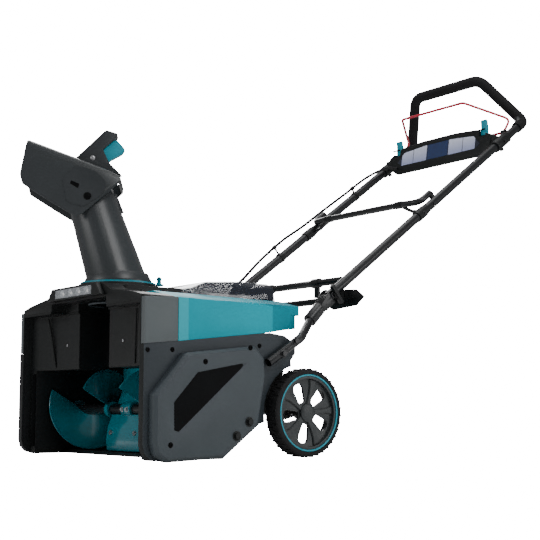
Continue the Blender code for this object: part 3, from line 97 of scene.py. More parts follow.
# %% Camera
CAMERA_SIDE = 2.161
CAMERA_AHEAD = -1.221
CAMERA_HEIGHT = 0.114
CAMERA_AZIMUTH = math.radians(50.482)
CAMERA_PITCH = math.radians(6.841)
CAMERA_LENS = 71.44
CAMERA_SHIFT = (0.0059, 0.0169)
camera_data = bpy.data.cameras.new("camera")
camera_data.sensor_width = 36.0
camera_data.lens = CAMERA_LENS
camera_data.shift_x, camera_data.shift_y = CAMERA_SHIFT
camera = linked("camera", camera_data)
camera.location = spot(CAMERA_SIDE, CAMERA_AHEAD, CAMERA_HEIGHT)
camera.rotation_euler = (math.pi / 2 + CAMERA_PITCH, 0.0, CAMERA_AZIMUTH)
bpy.context.scene.camera = camera
print("camera at", [round(c, 3) for c in camera.location])

# %% Lights and floor
CENTRE = Vector((0.0, 0.0, 0.45))
LIGHTS = {
    "key": ((2.6, -0.6, 2.6), (1.6, 1.2), 42), "side": ((2.8, 1.6, 0.9), (1.2, 1.2), 16),
    "front": ((-0.6, -3.2, 1.4), (1.6, 1.0), 20), "rim": ((-2.6, 1.4, 2.2), (1.4, 1.4), 40),
    "top": ((0.0, 0.0, 3.2), (2.0, 2.0), 34),
}
SURROUND_SHINES, SURROUND_SEEN = 0.26, 30.0
FLOOR_SEEN, FLOOR_SHARE = 34.0, 0.8


def area_light(name, position, size, power):
    """Large soft light that faces the machine."""
    data = bpy.data.lights.new(name, "AREA")
    data.shape = "RECTANGLE"
    data.size, data.size_y = size
    data.energy = power
    light = linked(name, data)
    light.location = position
    light.rotation_euler = (CENTRE - Vector(position)).to_track_quat("-Z", "Y").to_euler()


def seen_by_camera(tree, shining, seen, end, share=1.0):
    """Join two shaders: one lights the scene, and the camera sees a share of the other in its place."""
    rays = tree.nodes.new("ShaderNodeLightPath")
    part = tree.nodes.new("ShaderNodeMath")
    part.operation = "MULTIPLY"
    part.inputs[1].default_value = share
    either = tree.nodes.new("ShaderNodeMixShader")
    for source, target in ((rays.outputs["Is Camera Ray"], part.inputs[0]),
                           (part.outputs[0], either.inputs[0]),
                           (shining.outputs[0], either.inputs[1]), (seen.outputs[0], either.inputs[2]),
                           (either.outputs[0], end.inputs["Surface"])):
        tree.links.new(source, target)


for light_name, (position, size, power) in LIGHTS.items():
    area_light(light_name, position, size, power)

world = bpy.data.worlds.new("studio")
bpy.context.scene.world = world
world.use_nodes = True
sky = world.node_tree
surround = sky.nodes["Background"]
surround.inputs["Color"].default_value = (1.0, 1.0, 1.0, 1.0)
surround.inputs["Strength"].default_value = SURROUND_SHINES
bright = sky.nodes.new("ShaderNodeBackground")
bright.inputs["Strength"].default_value = SURROUND_SEEN
seen_by_camera(sky, surround, bright, sky.nodes["World Output"])

floor_mesh = bpy.data.meshes.new("floor")
floor_form = bmesh.new()
bmesh.ops.create_grid(floor_form, x_segments=1, y_segments=1, size=14.0)
floor_form.to_mesh(floor_mesh)
floor_form.free()
floor = linked("floor", floor_mesh)
floor_paint = bpy.data.materials.new("pale_floor")
floor_paint.use_nodes = True
paint = floor_paint.node_tree
matt_white = paint.nodes["Principled BSDF"]
matt_white.inputs["Base Color"].default_value = (0.92, 0.92, 0.92, 1.0)
matt_white.inputs["Roughness"].default_value = 0.65
shine = paint.nodes.new("ShaderNodeEmission")
shine.inputs["Strength"].default_value = FLOOR_SEEN
seen_by_camera(paint, matt_white, shine, paint.nodes["Material Output"], FLOOR_SHARE)
floor_mesh.materials.append(floor_paint)
print("five soft lights and a pale floor")

# %% [markdown]
# ## Writing shaders as sums
# A material is easier to read as arithmetic than as a web of nodes. The class below wraps one output
# socket: adding, multiplying or comparing two wrapped sockets adds the Math node that does it. `Finish`
# owns a material's node tree; its `node` method adds any other node and feeds its inputs.

# %% Sockets that can be added and multiplied


class Wire:
    """One socket of a node tree, with arithmetic."""

    def __init__(self, tree, socket):
        self.tree = tree
        self.socket = socket

    def math(self, operation, *others):
        step = self.tree.nodes.new("ShaderNodeMath")
        step.operation = operation
        for slot, value in zip(step.inputs, (self, *others)):
            if isinstance(value, Wire):
                self.tree.links.new(value.socket, slot)
            else:
                slot.default_value = value
        return Wire(self.tree, step.outputs[0])

    def __add__(self, other):
        return self.math("ADD", other)

    __radd__ = __add__

    def __mul__(self, other):
        return self.math("MULTIPLY", other)

    __rmul__ = __mul__

    def __sub__(self, other):
        return self.math("SUBTRACT", other)

    def __gt__(self, other):
        return self.math("GREATER_THAN", other)


class Finish:
    """A material being made, and the shader at its end."""

    def __init__(self, name, roughness=0.5, metallic=0.0):
        self.material = bpy.data.materials.new(name)
        self.material.use_nodes = True
        self.tree = self.material.node_tree
        self.shader = self.tree.nodes["Principled BSDF"]
        self.set(Roughness=roughness, Metallic=metallic)
        self.place = self.node("ShaderNodeTexCoord", out="Object")

    def node(self, kind, out=0, **values):
        made = self.tree.nodes.new(kind)
        for key, value in values.items():
            self.feed(made.inputs[key.replace("_", " ")], value)
        return Wire(self.tree, made.outputs[out])

    def feed(self, slot, value):
        if isinstance(value, Wire):
            self.tree.links.new(value.socket, slot)
        else:
            slot.default_value = value

    def set(self, **values):
        for key, value in values.items():
            self.feed(self.shader.inputs[key.replace("_", " ")], value)

    def noise(self, scale, detail=3.0, roughness=0.55, stretch=None):
        where = self.place
        if stretch:
            where = self.node("ShaderNodeMapping", Vector=where, Scale=stretch)
        return self.node("ShaderNodeTexNoise", out="Fac", Vector=where, Scale=scale, Detail=detail,
                         Roughness=roughness)

    def blend(self, share, first, second):
        mix = self.tree.nodes.new("ShaderNodeMix")
        mix.data_type = "RGBA"
        for slot, value in ((mix.inputs["Factor"], share), (mix.inputs[6], first), (mix.inputs[7], second)):
            self.feed(slot, value if isinstance(value, (Wire, float)) else (*value, 1.0))
        return Wire(self.tree, mix.outputs[2])

    def ramp(self, value, low, high):
        return self.node("ShaderNodeMapRange", Value=value, From_Min=low, From_Max=high)

    def bump(self, height, strength, distance):
        normal = self.node("ShaderNodeBump", Height=height, Strength=strength, Distance=distance)
        self.set(Normal=normal)


print("shader helpers ready")

# %% [markdown]
# ## Finishes
# Each finish is named for what the maker would order. Moulded plastic is never flat: the mould's spark
# texture breaks up its highlights, and handling leaves it a little lighter and shinier in broad patches.
# Enamel has a faint orange peel, powder coat a tighter one. Foam and rubber are matt, with cells or dust.

# %% Plastics


def moulded(name, dark, light, roughness, grain=900.0, depth=0.00006, coat=0.0, strength=0.35, specular=0.5):
    """Moulded plastic: spark texture, a broad drift of tone and uneven gloss."""
    made = Finish(name)
    drift = made.ramp(made.noise(6.0, 2.0), 0.35, 0.65)
    speck = made.noise(grain, 2.0)
    made.set(Base_Color=made.blend(drift * 0.7 + speck * 0.3, dark, light))
    made.set(Roughness=roughness + 0.1 * made.noise(22.0, 3.0) - 0.05, Specular_IOR_Level=specular)
    made.bump(speck, strength, depth)
    if coat:
        made.set(Coat_Weight=coat, Coat_Roughness=0.08)
    return made.material


FINISHES = {
    "black_plastic": moulded("black_moulding", (0.005, 0.0062, 0.0066), (0.0085, 0.01, 0.0106), 0.44,
                              specular=0.3),
    "charcoal_plastic": moulded("charcoal_moulding", (0.036, 0.048, 0.057), (0.045, 0.059, 0.069),
                                0.52),
    "grey_plastic": moulded("grey_moulding", (0.078, 0.093, 0.099), (0.093, 0.11, 0.117), 0.52),
    "chute_plastic": moulded("chute_moulding", (0.024, 0.028, 0.031), (0.032, 0.037, 0.041), 0.36,
                             700.0),
    "teal_plastic": moulded("teal_moulding", (0.0, 0.26, 0.345), (0.0, 0.3, 0.395), 0.4, 260.0,
                            0.00003, 0.12, 0.15),
}
print(len(FINISHES), "plastics")

# %% Paints and metals


def enamel(name, dark, light, roughness, peel=140.0, metallic=0.0, coat=0.6, specular=0.5):
    """Baked paint with orange peel and a little uneven gloss."""
    made = Finish(name)
    wave = made.noise(peel, 1.0)
    drift = made.ramp(made.noise(9.0, 3.0), 0.3, 0.7)
    made.set(Base_Color=made.blend(drift, dark, light), Metallic=metallic)
    made.set(Roughness=roughness + 0.12 * made.noise(35.0, 4.0) - 0.06)
    made.set(Coat_Weight=coat, Coat_Roughness=0.06, Specular_IOR_Level=specular)
    made.bump(wave, 0.18, 0.00025)
    return made.material


def brushed(name, colour, roughness):
    """Steel with fine lines that run one way."""
    made = Finish(name, roughness, 1.0)
    lines = made.noise(320.0, 2.0, 0.6, (1.0, 14.0, 1.0))
    made.set(Base_Color=made.blend(lines, tuple(c * 0.75 for c in colour), colour))
    made.set(Roughness=roughness + 0.15 * lines - 0.07)
    made.bump(lines, 0.1, 0.00004)
    return made.material


FINISHES["teal_paint"] = enamel("teal_enamel", (0.0, 0.17, 0.22), (0.0, 0.23, 0.29), 0.22)
FINISHES["black_paint"] = enamel("black_powder_coat", (0.005, 0.006, 0.0074), (0.009, 0.0105, 0.0124),
                                 0.36,
                                 520.0, 0.1, 0.1)
FINISHES["red_paint"] = enamel("red_enamel", (0.5, 0.008, 0.034), (0.62, 0.012, 0.048), 0.26)
FINISHES["steel"] = brushed("zinc_plated_steel", (0.6, 0.61, 0.63), 0.3)
print("paints and steel ready")

# %% Rubber, foam and clear plastics


def matt(name, dark, light, roughness, grain, depth):
    """Rubber or foam: no gloss, a close grain and a trace of dust."""
    made = Finish(name)
    cells = made.noise(grain, 4.0, 0.7)
    dust = made.ramp(made.noise(14.0, 5.0), 0.45, 0.75)
    made.set(Base_Color=made.blend(dust * 0.5 + cells * 0.5, dark, light))
    made.set(Roughness=roughness + 0.1 * cells - 0.05, Specular_IOR_Level=0.25)
    made.bump(cells, 0.6, depth)
    return made.material


def clear(name, colour, alpha, roughness):
    """Thin clear or smoked sheet: mostly see-through, with a hard gloss."""
    made = Finish(name, roughness)
    smear = made.noise(18.0, 3.0)
    made.set(Base_Color=made.blend(smear, tuple(c * 0.7 for c in colour), colour))
    made.set(Alpha=alpha, Coat_Weight=0.8, Coat_Roughness=0.03, Specular_IOR_Level=0.6)
    made.set(Roughness=roughness + 0.05 * smear)
    return made.material


FINISHES["rubber"] = matt("cable_rubber", (0.008, 0.008, 0.009), (0.015, 0.015, 0.016), 0.62, 500.0,
                          0.00008)
FINISHES["tyre"] = matt("tyre_rubber", (0.009, 0.009, 0.01), (0.019, 0.019, 0.02), 0.72, 380.0,
                        0.00015)
FINISHES["foam"] = matt("grip_foam_rubber", (0.007, 0.007, 0.008), (0.015, 0.015, 0.016), 0.8, 700.0,
                        0.00025)
FINISHES["black_gloss"] = enamel("black_gloss_moulding", (0.003, 0.0032, 0.0036), (0.005, 0.0054, 0.006),
                                 0.52,
                                 90.0, 0.0, 0.0, 0.06)
FINISHES["chrome"] = enamel("bright_reflector", (0.8, 0.81, 0.83), (0.9, 0.91, 0.93), 0.14, 60.0, 1.0, 0.0)
FINISHES["paper"] = moulded("plain_white_label", (0.7, 0.71, 0.72), (0.8, 0.81, 0.82), 0.45)
lamp = Finish("lamp_bead", 0.3)
lamp.set(Base_Color=lamp.blend(lamp.noise(300.0), (0.8, 0.78, 0.66), (0.95, 0.94, 0.85)))
lamp.shader.inputs["Emission Strength"].default_value = 0.6
lamp.set(Emission_Color=(1.0, 0.97, 0.9, 1.0))
FINISHES["lamp"] = lamp.material
FINISHES["smoke"] = clear("smoked_polycarbonate", (0.01, 0.016, 0.034), 0.72, 0.1)
FINISHES["lens"] = clear("clear_lens", (0.75, 0.79, 0.84), 0.35, 0.04)
print(len(FINISHES), "finishes")

# %% [markdown]
# Three pieces are not one colour all over. The console's window shows pale panels on both sides of a dark
# blue display, parted by thin lines. The teal cover has painted light: a painted highlight makes it a shade
# lighter along its front edge, and painted shade makes it deeper at its rear. The housing is greyer on its
# outer sides.

# %% Patterned finishes, and a cover with painted light
SEAM_AT = MOUTH + 0.0865


def display():
    """Pale panels with a dark blue centre behind a clear window."""
    made = Finish("console_display", 0.16)
    across = made.node("ShaderNodeSeparateXYZ", out=0, Vector=made.place)
    height = Wire(made.tree, across.socket.node.outputs["Z"])
    off_centre = across.math("ABSOLUTE")
    pale = made.blend(made.ramp(height, 0.885, 0.922), (0.36, 0.4, 0.62), (0.66, 0.7, 0.86))
    centre = off_centre.math("LESS_THAN", 0.042)
    line = off_centre.math("COMPARE", 0.043, 0.0016) + off_centre.math("COMPARE", 0.1, 0.001)
    rim = off_centre > 0.148
    panels = made.blend(centre, pale, (0.012, 0.03, 0.105))
    made.set(Base_Color=made.blend((line + rim).math("MINIMUM", 1.0), panels, (0.01, 0.014, 0.03)))
    made.set(Coat_Weight=0.7, Coat_Roughness=0.04, Roughness=0.16 + 0.05 * made.noise(30.0))
    return made.material


def teal_with_painted_light():
    """The cover's teal, with a painted highlight just behind the corner block and painted shade, a deeper
    teal, where its rear facet turns away.
    """
    made = Finish("teal_cover", 0.38)
    drift = made.ramp(made.noise(6.0, 2.0), 0.35, 0.65)
    backward = made.node("ShaderNodeSeparateXYZ", out=1, Vector=made.place)
    teal = made.blend(drift, (0.0, 0.33, 0.42), (0.0, 0.38, 0.48))
    # painted shade: behind the crease, the rear facet is painted a deeper teal because it turns away from
    # the lamps
    shaded = made.blend(backward > SEAM_AT + 0.262, teal, (0.0, 0.25, 0.325))
    # painted highlight: a lighter teal strip along the front edge, just behind the corner block
    made.set(Base_Color=made.blend(backward.math("LESS_THAN", SEAM_AT + 0.026), shaded,
                                   (0.03, 0.43, 0.52)))
    made.set(Roughness=0.4 + 0.1 * made.noise(22.0), Specular_IOR_Level=0.12)
    made.bump(made.noise(260.0, 2.0), 0.15, 0.00003)
    return made.material


def housing_black():
    """The main moulding: black at its mouth, with a greyer, grained finish on its two outer sides."""
    made = Finish("housing_moulding", 0.48)
    sideways = made.node("ShaderNodeSeparateXYZ", out=0, Vector=made.place).math("ABSOLUTE")
    speck = made.noise(900.0, 2.0)
    inner = made.blend(speck, (0.0046, 0.0058, 0.0062), (0.008, 0.0096, 0.0102))
    outer = made.blend(speck, (0.027, 0.035, 0.042), (0.035, 0.044, 0.052))
    made.set(Base_Color=made.blend(sideways > HALF_WIDTH - 0.0012, inner, outer))
    made.set(Roughness=0.44 + 0.1 * made.noise(22.0), Specular_IOR_Level=0.3)
    made.bump(speck, 0.35, 0.00006)
    return made.material


FINISHES["housing"] = housing_black()
FINISHES["wheel_black"] = moulded("wheel_moulding", (0.016, 0.02, 0.022), (0.023, 0.028, 0.03), 0.42)
FINISHES["label"] = display()
# the teal cover's finish holds a painted highlight at its front edge and painted shade on its rear facet
FINISHES["teal_cover"] = teal_with_painted_light()
print(len(FINISHES), "finishes")

# %% [markdown]
# ## Softened edges
# A CAD solid meets itself at knife edges, and a moulded or bent part never does: the small radius on each
# edge is what catches the light. So each node's mesh is copied, its loose triangles are merged and flat
# faces joined again, a Bevel rounds the edges, and the result stands for the node. The node itself stays
# where it is, hidden.

# %% Take over a node
replaced = set()


def finished(name, mesh, body, slot_name, stands_for=()):
    """Turn a mesh into a finished piece that rides on a body."""
    piece = linked(name, mesh)
    mesh.materials.clear()
    mesh.materials.append(FINISHES[slot_name])
    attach(piece, body)
    slot_name in RECORD_SLOTS
    if stands_for:
        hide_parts(*stands_for)
        replaced.update(stands_for)
    return piece


def applied(piece):
    """Mesh of an object with its modifiers worked in."""
    bpy.context.view_layer.update()
    evaluated = piece.evaluated_get(bpy.context.evaluated_depsgraph_get())
    return bpy.data.meshes.new_from_object(evaluated)


def merged(node):
    """A node's mesh with its loose triangles merged and its flat faces joined."""
    form = bmesh.new()
    form.from_mesh(NODES[node].data)
    bmesh.ops.remove_doubles(form, verts=form.verts[:], dist=0.00002)
    bmesh.ops.dissolve_limit(form, angle_limit=math.radians(0.6), verts=form.verts[:], edges=form.edges[:])
    return form


def soften(node, radius, slot_name=None):
    """Replace a node by a copy with rounded edges."""
    mesh = bpy.data.meshes.new(node + "_soft")
    form = merged(node)
    form.to_mesh(mesh)
    form.free()
    draft = linked(node + "_draft", mesh)
    edge = draft.modifiers.new("edge", "BEVEL")
    edge.width = radius
    edge.segments = 3
    edge.limit_method = "ANGLE"
    edge.angle_limit = math.radians(28)
    result = applied(draft)
    bpy.data.objects.remove(draft, do_unlink=True)
    result.shade_smooth()
    result.set_sharp_from_angle(angle=math.radians(40))
    return finished(node + "_skin", result, BODY_OF[node], slot_name or SLOT_OF[node], [node])


EDGE_RADII = {
    "auger_housing": 0.002, "front_hood": 0.0025, "led_housing": 0.0015, "top_cover": 0.002,
    "scraper_bar": 0.0008, "battery_cover": 0.004, "battery_tray": 0.001, "controller": 0.002,
    "auger_paddle": 0.0006, "auger_shaft": 0.001, "console": 0.004, "deflector_handle": 0.0025,
    "trigger": 0.003, "cleanout_tool": 0.001, "chute": 0.0006, "deflector": 0.0012,
    "axle_carrier": 0.001, "ring_knob": 0.001, "lower_crossbar": 0.0008,
}
PAIRED_RADII = {
    "corner_block": 0.0015, "side_cover": 0.003, "battery_pack": 0.003, "pivot_fork": 0.0012,
    "pivot_knob": 0.0015, "lockoff_lever": 0.0015, "wheel_rim": 0.0014, "stub_tube": 0.0004,
}
for stem, edge_radius in PAIRED_RADII.items():
    for side, sign in SIDES:
        EDGE_RADII[stem + "_" + side] = edge_radius
OWN_FINISH = {"top_cover": "teal_cover", "auger_housing": "housing", "wheel_rim_left": "wheel_black",
              "wheel_rim_right": "wheel_black"}
for node_name, edge_radius in EDGE_RADII.items():
    soften(node_name, edge_radius, slot_name=OWN_FINISH.get(node_name))
print(len(EDGE_RADII), "nodes softened")

# %% [markdown]
# ## Shapes with a rule
# Tubes, turned pieces and flat plates make up most of the machine, so three small makers cover them. `tube`
# runs a round section along a route with its corners bent to a radius. `turned` spins a profile about a
# line that runs sideways. `plate` thickens an outline and rounds its edges.

# %% Tubes, turned pieces and plates
RIGHT = Vector((1.0, 0.0, 0.0))
SLOPE = math.radians(35.9)
PIVOT = (0.578, 0.391)
TRACK = 0.226
TUBE_RADIUS, SLEEVE_RADIUS, GRIP_RADIUS = 0.0127, 0.0154, 0.0164
CABLE_RADIUS = 0.0042
CHUTE_Y = 0.107
CHUTE_YAW = Matrix.Rotation(math.radians(-35.0), 4, "Z")


def along(distance, above=0.0, x=TRACK):
    """Point on the handle: distance up the tube from the pivot, and height above it."""
    return spot(x, PIVOT[0] + distance * math.cos(SLOPE) - above * math.sin(SLOPE),
                PIVOT[1] + distance * math.sin(SLOPE) + above * math.cos(SLOPE))


def aimed(x, y, z):
    """Point of the chute and its deflector, which rest turned to the right."""
    return spot(0, CHUTE_Y, 0) + CHUTE_YAW @ Vector((x, y - CHUTE_Y, z))


def corners_bent(route, radius, steps=10):
    """Route with an arc of short chords at each corner."""
    made = [route[0]]
    for before, corner, after in zip(route, route[1:], route[2:]):
        arriving = (before - corner).normalized()
        leaving = (after - corner).normalized()
        half = arriving.angle(leaving) / 2
        reach = min(radius / math.tan(half), 0.48 * (before - corner).length, 0.48 * (after - corner).length)
        start = corner + arriving * reach
        end = corner + leaving * reach
        for k in range(steps + 1):
            share = k / steps
            made.append((1 - share) ** 2 * start + 2 * share * (1 - share) * corner + share ** 2 * end)
    return made + [route[-1]]


def smooth_through(points, samples=8):
    """Smooth route through chosen points."""
    ends = [points[0] * 2 - points[1], *points, points[-1] * 2 - points[-2]]
    route = []
    for a, b, c, d in zip(ends, ends[1:], ends[2:], ends[3:]):
        for k in range(samples):
            t = k / samples
            route.append(0.5 * ((2 * b) + (c - a) * t + (2 * a - 5 * b + 4 * c - d) * t * t
                                + (3 * b - a - 3 * c + d) * t ** 3))
    return route + [points[-1]]


def tube(name, route, radius, body, slot_name, stands_for=(), resolution=8):
    """Round bar or tube along a route."""
    data = bpy.data.curves.new(name, "CURVE")
    data.dimensions = "3D"
    data.bevel_depth = radius
    data.bevel_resolution = resolution
    data.use_fill_caps = True
    line = data.splines.new("POLY")
    line.points.add(len(route) - 1)
    for point, place in zip(line.points, route):
        point.co = (*place, 1.0)
    draft = linked(name + "_line", data)
    mesh = applied(draft)
    bpy.data.objects.remove(draft, do_unlink=True)
    mesh.shade_smooth()
    mesh.set_sharp_from_angle(angle=math.radians(50))
    return finished(name, mesh, body, slot_name, stands_for)


def turned(profile, centre, axis=RIGHT, segments=96):
    """Bmesh spun about an axis through centre, from (along, radius) pairs of a closed or on-axis profile."""
    form = bmesh.new()
    side = axis.orthogonal().normalized()
    other = axis.cross(side)
    rings = []
    for distance, radius in profile:
        ring = []
        for k in range(segments):
            angle = k * math.tau / segments
            ring.append(form.verts.new(centre + axis * distance
                                       + (side * math.cos(angle) + other * math.sin(angle)) * max(radius,
                                                                                                  0.00002)))
        rings.append(ring)
    for ring, following in zip(rings, rings[1:]):
        for k in range(segments):
            m = (k + 1) % segments
            form.faces.new((ring[k], ring[m], following[m], following[k]))
    if profile[0] != profile[-1]:
        form.faces.new(rings[0][::-1])
        form.faces.new(rings[-1])
    else:
        bmesh.ops.remove_doubles(form, verts=form.verts[:], dist=0.000001)
    bmesh.ops.recalc_face_normals(form, faces=form.faces[:])
    return form


def smoothed(form, angle=40.0):
    """Mesh of a bmesh, shaded smooth between its sharp edges."""
    mesh = bpy.data.meshes.new("form")
    form.to_mesh(mesh)
    form.free()
    mesh.shade_smooth()
    mesh.set_sharp_from_angle(angle=math.radians(angle))
    return mesh


def plate(corners, thickness, edge=0.0, segments=2):
    """Bmesh of a flat outline, in world points, thickened along a vector and rounded at its edges."""
    form = bmesh.new()
    lower = [form.verts.new(corner) for corner in corners]
    upper = [form.verts.new(corner + thickness) for corner in corners]
    form.faces.new(lower)
    form.faces.new(upper[::-1])
    for k in range(len(corners)):
        m = (k + 1) % len(corners)
        form.faces.new((lower[k], upper[k], upper[m], lower[m]))
    bmesh.ops.recalc_face_normals(form, faces=form.faces[:])
    if edge:
        bmesh.ops.bevel(form, geom=form.edges[:], offset=edge, segments=segments, affect="EDGES",
                        clamp_overlap=True)
    return form


def rounded(corners, radius, steps=5):
    """Closed flat outline with its corners rounded."""
    made = []
    count = len(corners)
    for k in range(count):
        bend = corners_bent([corners[k - 1], corners[k], corners[(k + 1) % count]], radius, steps)
        made += bend[1:-1]
    return made


print("tubes, turned pieces and plates ready")

# %% [markdown]
# ## The handle
# The tubes are drawn along the same routes as the solids they stand for, with enough points to look bent
# and not jointed. Foam, bail and harness follow.

# %% Tubes of the handle


def both(points):
    """Route over both sides of the machine, from the left to the right."""
    return points + [Vector((-p.x, p.y, p.z)) for p in reversed(points)]


LOWER_END = 0.43
BEND = 0.05
BAR_RISE = TUBE_RADIUS + 0.0098
BAR_REACH = TRACK - 0.012
BAR_AT = LOWER_END + 0.013
BAIL_PIVOT = (1.306, 0.928)
turn, top = along(0.985), along(0.996, 0.159, TRACK - 0.096)
loop_route = corners_bent(both([along(LOWER_END + 0.0006), turn, top]), BEND)
tube("upper_tube", loop_route, TUBE_RADIUS, "handle", "black_paint", ["handle_loop"])
foam_route = corners_bent(both([along(0.945), turn, top]), BEND)
tube("foam_grip", foam_route, GRIP_RADIUS, "handle", "foam", ["grip_foam"], 10)
for side, sign in SIDES:
    x = sign * TRACK
    tube("lower_pole_" + side, [along(-0.01, 0, x), along(LOWER_END - 0.002, 0, x)], TUBE_RADIUS, "handle",
         "black_paint", ["lower_tube_" + side])
    collar = [along(LOWER_END - 0.036, 0, x), along(LOWER_END - 0.034, 0, x), along(LOWER_END, 0, x)]
    tube("sleeve_" + side, collar, SLEEVE_RADIUS, "handle", "black_plastic")
    for name, start, end, radius in (("grip_cap", 0.941, 0.946, 0.0162),
                                     ("neck", LOWER_END + 0.001, LOWER_END + 0.01, 0.0139)):
        tube(name + "_" + side, [along(start, 0, x), along(end, 0, x)], radius, "handle", "black_plastic")
bar_route = both([along(BAR_AT + 0.052, BAR_RISE, BAR_REACH), along(BAR_AT, BAR_RISE, BAR_REACH),
                  along(BAR_AT - 0.004, BAR_RISE + 0.004, BAR_REACH - 0.05)])
tube("middle_bar", corners_bent(bar_route, 0.03), 0.009, "handle", "black_paint", ["mid_crossbar"])
bail_route = both([spot(TRACK - 0.076, *BAIL_PIVOT), spot(TRACK - 0.02, *BAIL_PIVOT),
                   along(0.958, 0.0263, TRACK - 0.021), along(0.89, 0.1335, TRACK - 0.102)])
tube("bail_wire", corners_bent(bail_route, 0.016), 0.004, "bail", "red_paint", ["bail"])
print("handle tubes, grip and bail drawn")

# %% [markdown]
# The control cable is held all the way, in two lengths that meet where the handle folds: one rides on the
# handle, the other stays on the machine.

# %% Cable and its clips


def route_inside(points):
    """Points given as (inside the right-hand tube's axis, Y, Z)."""
    return [spot(inward - TRACK, y, z) for inward, y, z in points]


upper_cable = route_inside([
    (0.061, 1.2355, 0.872), (0.038, 1.212, 0.874), (0.008, 1.155, 0.842), (-0.003, 1.06, 0.773),
    (-0.003, 0.97, 0.712), (-0.003, 0.89, 0.656), (-0.003, 0.81, 0.605),
                            (-0.003, 0.73, 0.542),
    (0.003, 0.666, 0.486), (0.013, 0.626, 0.456), (0.024, 0.5992, 0.431)])
lower_cable = route_inside([
    (0.0246, 0.5981, 0.4288), (0.025, 0.588, 0.411), (0.025, 0.574, 0.393), (0.026, 0.552, 0.372),
    (0.032, 0.516, 0.346), (0.04, 0.483, 0.326), (0.046, 0.4572, 0.32)])
tube("upper_cable", smooth_through(upper_cable), CABLE_RADIUS, "handle", "rubber", ["harness_upper"], 5)
tube("lower_cable", smooth_through(lower_cable), CABLE_RADIUS, "chassis", "rubber", ["harness_lower"], 5)
tube("cable_ferrule", [upper_cable[-1], upper_cable[-1] * 0.6 + upper_cable[-2] * 0.4], 0.0056, "handle",
     "black_plastic")
for number, distance in enumerate((0.275, 0.655)):
    cable_at = min(smooth_through(upper_cable), key=lambda p: (p - along(distance, 0.02, -TRACK)).length)
    centre = along(distance, 0, -TRACK)
    uphill = (along(1.0) - along(0.0)).normalized()
    band = turned([(-0.006, 0.013), (-0.006, 0.0146), (0.006, 0.0146), (0.006, 0.013), (-0.006, 0.013)],
                  centre, uphill, 48)
    finished("tube_clip_%d" % number, smoothed(band), "handle", "black_plastic")
    loop = turned([(-0.005, 0.0043), (-0.005, 0.006), (0.005, 0.006), (0.005, 0.0043), (-0.005, 0.0043)],
                  cable_at, uphill, 32)
    finished("cable_clip_%d" % number, smoothed(loop), "handle", "black_plastic")
    tube("clip_post_%d" % number, [centre + (cable_at - centre).normalized() * 0.014, cable_at], 0.003,
         "handle",
         "black_plastic")
print("cable laid in two lengths, with two clips")

# %% [markdown]
# ## The auger
# Each flight is one turn of a helicoid, wound towards the middle so that both throw the snow to the paddle.
# The rim of the steel strip is slightly rounded.

# %% Helical flights and shaft
AXLE_Y, AXLE_Z = 0.148, 0.11
AUGER_RADIUS = 0.097
FLIGHT_STEPS = 160
FLIGHT_OUTER, FLIGHT_INNER = 0.229, 0.078


def flight(sign):
    """One helical flight as a bmesh."""
    strip = [(0.013, 0.0), (0.055, 0.0), (AUGER_RADIUS - 0.0007, 0.0), (AUGER_RADIUS, 0.0009),
             (AUGER_RADIUS, 0.0021), (AUGER_RADIUS - 0.0007, 0.003), (0.055, 0.003), (0.013, 0.003)]
    form = bmesh.new()
    rings = []
    for k in range(FLIGHT_STEPS + 1):
        share = k / FLIGHT_STEPS
        angle = math.radians(150) + share * math.tau
        sideways = FLIGHT_OUTER + (FLIGHT_INNER - FLIGHT_OUTER) * share
        rings.append([form.verts.new(spot(sign * (sideways + depth), AXLE_Y + radius * math.cos(angle),
                                          AXLE_Z + radius * math.sin(angle))) for radius, depth in strip])
    for ring, following in zip(rings, rings[1:]):
        for m in range(len(strip)):
            n = (m + 1) % len(strip)
            form.faces.new((ring[m], ring[n], following[n], following[m]))
    form.faces.new(rings[0])
    form.faces.new(rings[-1][::-1])
    bmesh.ops.recalc_face_normals(form, faces=form.faces[:])
    return form


for side, sign in SIDES:
    finished("flight_" + side, smoothed(flight(sign)), "auger", "teal_paint", ["auger_flight_" + side])
    collar = [(sign * 0.0785, 0.0126), (sign * 0.0785, 0.0185), (sign * 0.0925, 0.0185),
              (sign * 0.0935, 0.0126)]
    collar.append(collar[0])
    finished("flight_collar_" + side, smoothed(turned(collar, spot(0, AXLE_Y, AXLE_Z))), "auger",
             "teal_paint")
print("two flights of", FLIGHT_STEPS, "steps")

# %% [markdown]
# ## Repeats with Geometry Nodes
# Screws, tyre lugs and spoke ribs are the same piece again and again. One node tree does them all: it takes
# a cloud of points, each with a direction to face and a direction for its top, and puts a copy of the part
# on each.

# %% A tree that copies a part onto points


